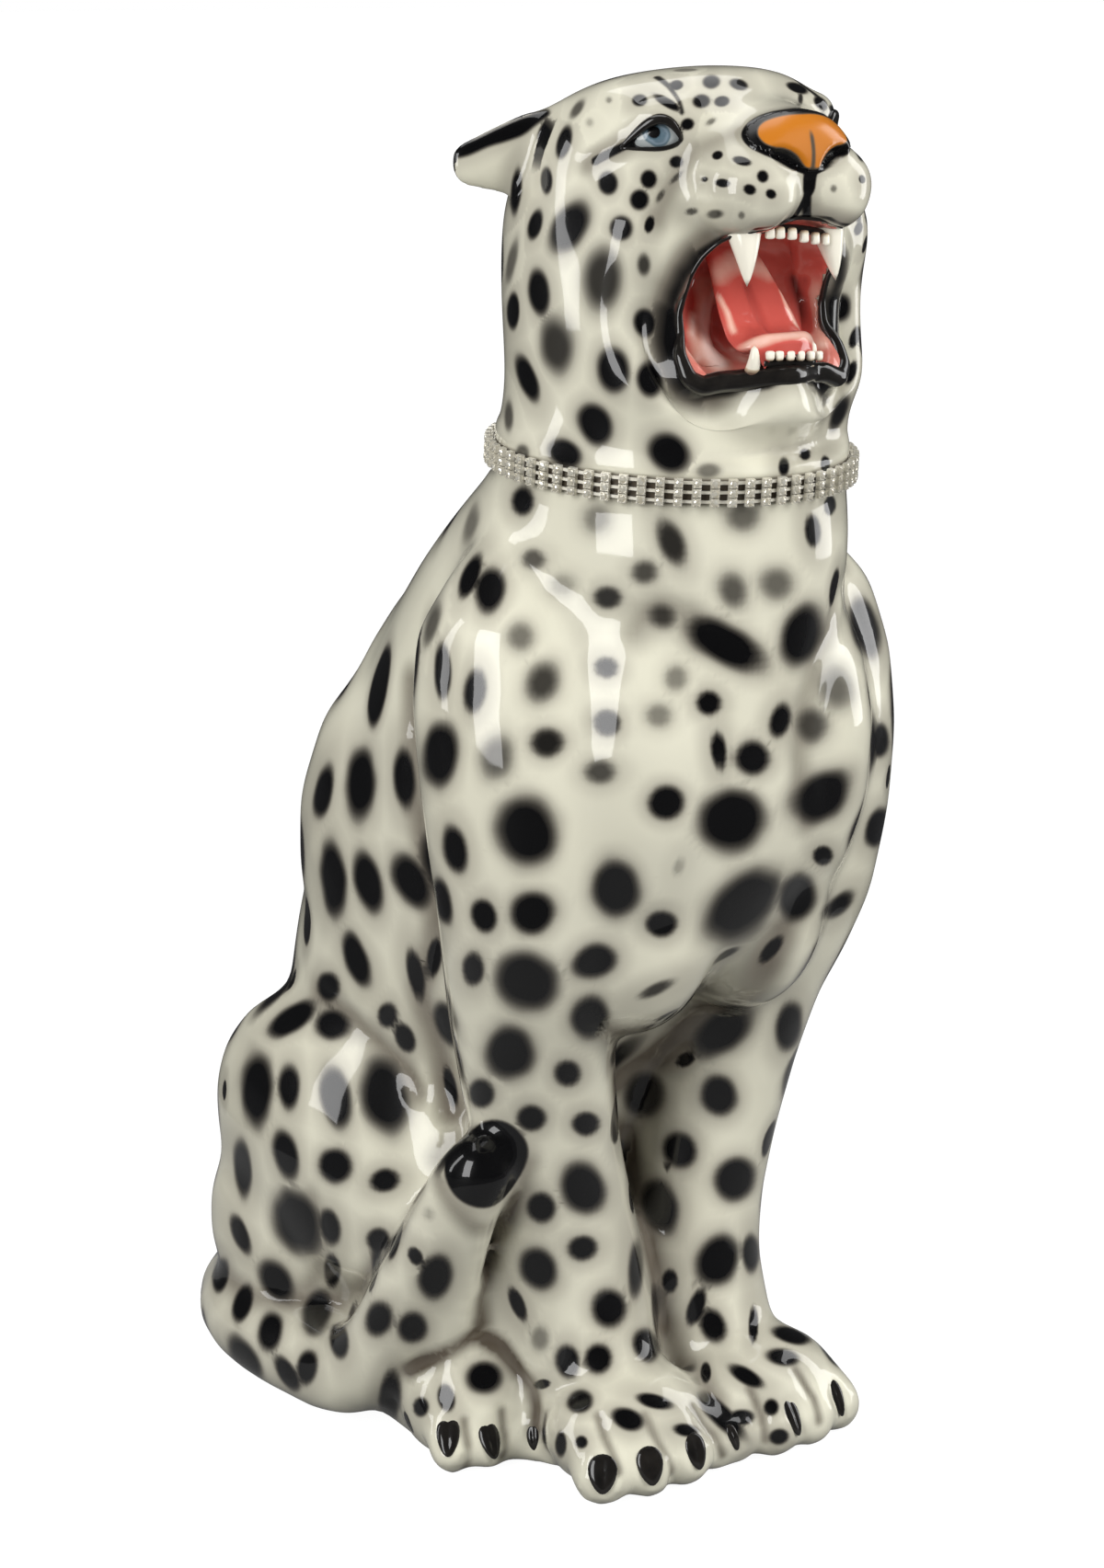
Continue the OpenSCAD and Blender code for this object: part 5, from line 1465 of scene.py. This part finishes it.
class STATUE_OT_collar(bpy.types.Operator):
    """Three rows of foil-backed crystals in silver cups, and the silver rows and clasp behind the neck"""

    bl_idname = "statue.collar"
    bl_label = "Collar"

    def execute(self, context):
        colours = context.scene.statue_finish
        silver, strip = silver_plate(colours), silver_plate(colours, "brushed_silver_strip", 0.05)
        stones, cups = bmesh.new(), bmesh.new()
        up = Vector(SEAM_UP)
        for middle in islands("collar_stones"):
            out = middle - Vector(SEAM_AT)
            out = (out - up * out.dot(up)).normalized()
            place = Matrix((up.cross(out), up, out)).transposed().to_4x4()
            place.translation = middle
            self.stone(stones, place)
            self.cup(cups, place)
        crystal = foiled_crystal(colours)
        new_piece("collar_crystals", mesh_of(stones, False), crystal, "collar", "crystal", "collar_stones")
        new_piece("collar_cups", mesh_of(cups, False), silver, "collar", "silver_plate", "collar_settings")
        for node in ("collar_rows", "collar_end_bars", "collar_rings", "clasp_body", "clasp_lever", "clasp_rivet"):
            obj = frame["nodes"][node]
            obj.data.materials.clear()
            obj.data.materials.append(strip if node == "collar_rows" else silver)
        return {"FINISHED"}

    def stone(self, bm, place):
        """One cut stone: two rows of facets and a table."""
        for low, high, at, turn in ((1.6, 1.3, 0.42, 0), (1.3, 0.7, 0.72, math.pi / 8)):
            bmesh.ops.create_cone(bm, cap_ends=True, segments=8, radius1=low * MM, radius2=high * MM, depth=0.3 * MM,
                                  matrix=place @ Matrix.Translation((0, 0, at * MM)) @ Matrix.Rotation(turn, 4, "Z"))

    def cup(self, bm, place):
        """One square cup with four prongs over its stone."""
        square = Matrix.Translation((0, 0, -0.72 * MM)) @ Matrix.Rotation(math.pi / 4, 4, "Z")
        bmesh.ops.create_cone(bm, cap_ends=True, segments=4, radius1=2.6 * MM, radius2=2.35 * MM, depth=2.0 * MM,
                              matrix=place @ square)
        for quarter in range(4):
            turn = Matrix.Rotation(math.pi / 4 + quarter * math.pi / 2, 4, "Z")
            bmesh.ops.create_cone(bm, cap_ends=True, segments=5, radius1=0.42 * MM, radius2=0.24 * MM, depth=0.75 * MM,
                                  matrix=place @ turn @ Matrix.Translation((1.7 * MM, 0, 0.45 * MM)))


class STATUE_OT_stage(bpy.types.Operator):
    """Floor, soft lamps, white surround and the photograph's camera"""

    bl_idname = "statue.stage"
    bl_label = "Stage"

    def execute(self, context):
        scene = context.scene
        scene.view_settings.view_transform = "Standard"
        self.floor()
        self.flags()
        self.surround(scene)
        toward = -LOOK * np.array((1, 1, 0)) / np.linalg.norm(LOOK[:2])
        # Name, place from the statue's middle, width, height, power, and the rays that don't see the lamp. The chest
        # mirrors only a strip far to the right, as in the photograph, and not the softbox that lights it.
        lamps = (
            ("softbox_right", 1.3 * SIDEWAYS + 0.6 * toward + (0, 0, 0.6), 1.0, 1.5, 22, "glossy"),
            ("strip_right", 1.5 * SIDEWAYS - 0.5 * toward + (0, 0, 0.5), 0.6, 1.5, 9, "diffuse"),
            ("window_left", -0.85 * SIDEWAYS + 1.2 * toward + (0, 0, 0.5), 0.7, 1.3, 17, None),
            ("window_side", -1.4 * SIDEWAYS + 0.1 * toward + (0, 0, 0.5), 0.25, 1.2, 4, None),
            ("overhead", -0.3 * toward + (0, 0, 1.6), 1.2, 1.2, 8.5, None),
        )
        for name, offset, wide, tall, power, unseen_by in lamps:
            data = bpy.data.lights.new(name, "AREA")
            data.shape, data.size, data.size_y, data.energy = "RECTANGLE", wide, tall, power
            lamp = placed(name, data)
            lamp.location = Vector(LIT_POINT + offset)
            lamp.rotation_euler = (-Vector(offset)).to_track_quat("-Z", "Y").to_euler()
            if unseen_by:
                setattr(lamp, "visible_" + unseen_by, False)
        camera = placed("camera", bpy.data.cameras.new("camera"))
        camera.data.sensor_width = SENSOR
        camera.data.lens = SENSOR * PHOTO_FOCAL / PHOTO_H
        camera.data.clip_start, camera.data.clip_end = 0.01, 100
        turn = Matrix((SIDEWAYS, UPWARDS, -LOOK)).transposed().to_4x4()
        camera.matrix_world = Matrix.Translation(EYE_POINT) @ turn
        scene.camera = camera
        return {"FINISHED"}

    def floor(self):
        """A pale floor that looks white to the camera where it isn't in shadow."""
        bm = bmesh.new()
        bmesh.ops.create_grid(bm, x_segments=2, y_segments=2, size=FLOOR_HALF)
        obj = placed("floor", mesh_of(bm))
        material, tree, shader = new_material("painted_floor", Roughness=0.9, Base_Color=FLOOR_GREY)
        path = add(tree, "LightPath")
        mirrored = add(tree, "Math", {0: path.outputs["Is Glossy Ray"], 1: path.outputs["Is Transmission Ray"]},
                       operation="MAXIMUM").outputs[0]
        mirrored = add(tree, "Math", {0: mirrored, 1: FLOOR_MIRRORED}, operation="MULTIPLY").outputs[0]
        glow = add(tree, "Math", {0: path.outputs["Is Camera Ray"], 1: FLOOR_GLOW, 2: mirrored},
                   operation="MULTIPLY_ADD").outputs[0]
        shader.inputs["Emission Color"].default_value = (1, 1, 1, 1)
        tree.links.new(glow, shader.inputs["Emission Strength"])
        obj.data.materials.append(material)

    def flags(self):
        """Dark flags all round and above, seen only in reflections, as a studio keeps glaze from mirroring its white
        walls."""
        bm = bmesh.new()
        bmesh.ops.create_cone(bm, cap_ends=True, segments=48, radius1=FLAG_R, radius2=FLAG_R, depth=FLAG_TALL,
                              matrix=Matrix.Translation((0, 0, FLAG_MIDDLE)))
        ground = [f for f in bm.faces if f.normal.z < -0.5]
        inner = bmesh.ops.inset_individual(bm, faces=ground, thickness=FLAG_RING)
        bmesh.ops.delete(bm, geom=[f for f in ground if f not in inner["faces"]], context="FACES_ONLY")
        obj = placed("flags", mesh_of(bm))
        for ray in ("camera", "diffuse", "transmission", "shadow", "volume_scatter"):
            setattr(obj, "visible_" + ray, False)
        cloth = new_material("black_flag_cloth", Roughness=0.9, Base_Color=FLAG_BLACK)[0]
        obj.data.materials.append(cloth)

    def surround(self, scene):
        """White to the camera and in reflections, softer as light."""
        world = bpy.data.worlds.new("surround")
        scene.world = world
        world.use_nodes = True
        tree = world.node_tree
        path = add(tree, "LightPath")
        seen = path.outputs["Is Camera Ray"]
        for ray in ("Is Glossy Ray", "Is Transmission Ray"):
            seen = add(tree, "Math", {0: seen, 1: path.outputs[ray]}, operation="MAXIMUM").outputs[0]
        strength = add(tree, "MapRange", {"Value": seen, "To Min": SURROUND_LIGHT, "To Max": 1.0}).outputs[0]
        tree.links.new(strength, tree.nodes["Background"].inputs["Strength"])
        tree.nodes["Background"].inputs["Color"].default_value = (1, 1, 1, 1)


class STATUE_PT_panel(bpy.types.Panel):
    """Lists the statue's pieces and their settings"""

    bl_label = "Leopard statue"
    bl_space_type = "VIEW_3D"
    bl_region_type = "UI"
    bl_category = "Statue"

    def draw(self, context):
        for group in (context.scene.statue_sizes, context.scene.statue_finish):
            for key in group.bl_rna.properties.keys():
                if key not in ("rna_type", "name"):
                    self.layout.prop(group, key)
        for step in STEPS:
            self.layout.operator(step.bl_idname)


STEPS = (STATUE_OT_body, STATUE_OT_head, STATUE_OT_eyes, STATUE_OT_nose, STATUE_OT_mouth, STATUE_OT_teeth,
         STATUE_OT_claws, STATUE_OT_collar, STATUE_OT_stage)
CLASSES = (StatueFinish, StatueSizes, *STEPS, STATUE_PT_panel)


def register():
    for item in CLASSES:
        bpy.utils.register_class(item)
    bpy.types.Scene.statue_finish = PointerProperty(type=StatueFinish)
    bpy.types.Scene.statue_sizes = PointerProperty(type=StatueSizes)


def unregister():
    del bpy.types.Scene.statue_sizes, bpy.types.Scene.statue_finish
    for item in reversed(CLASSES):
        bpy.utils.unregister_class(item)


def main():
    register()
    for step in STEPS:
        group, name = step.bl_idname.split(".")
        getattr(getattr(bpy.ops, group), name)()


if __name__ == "__main__":
    main()
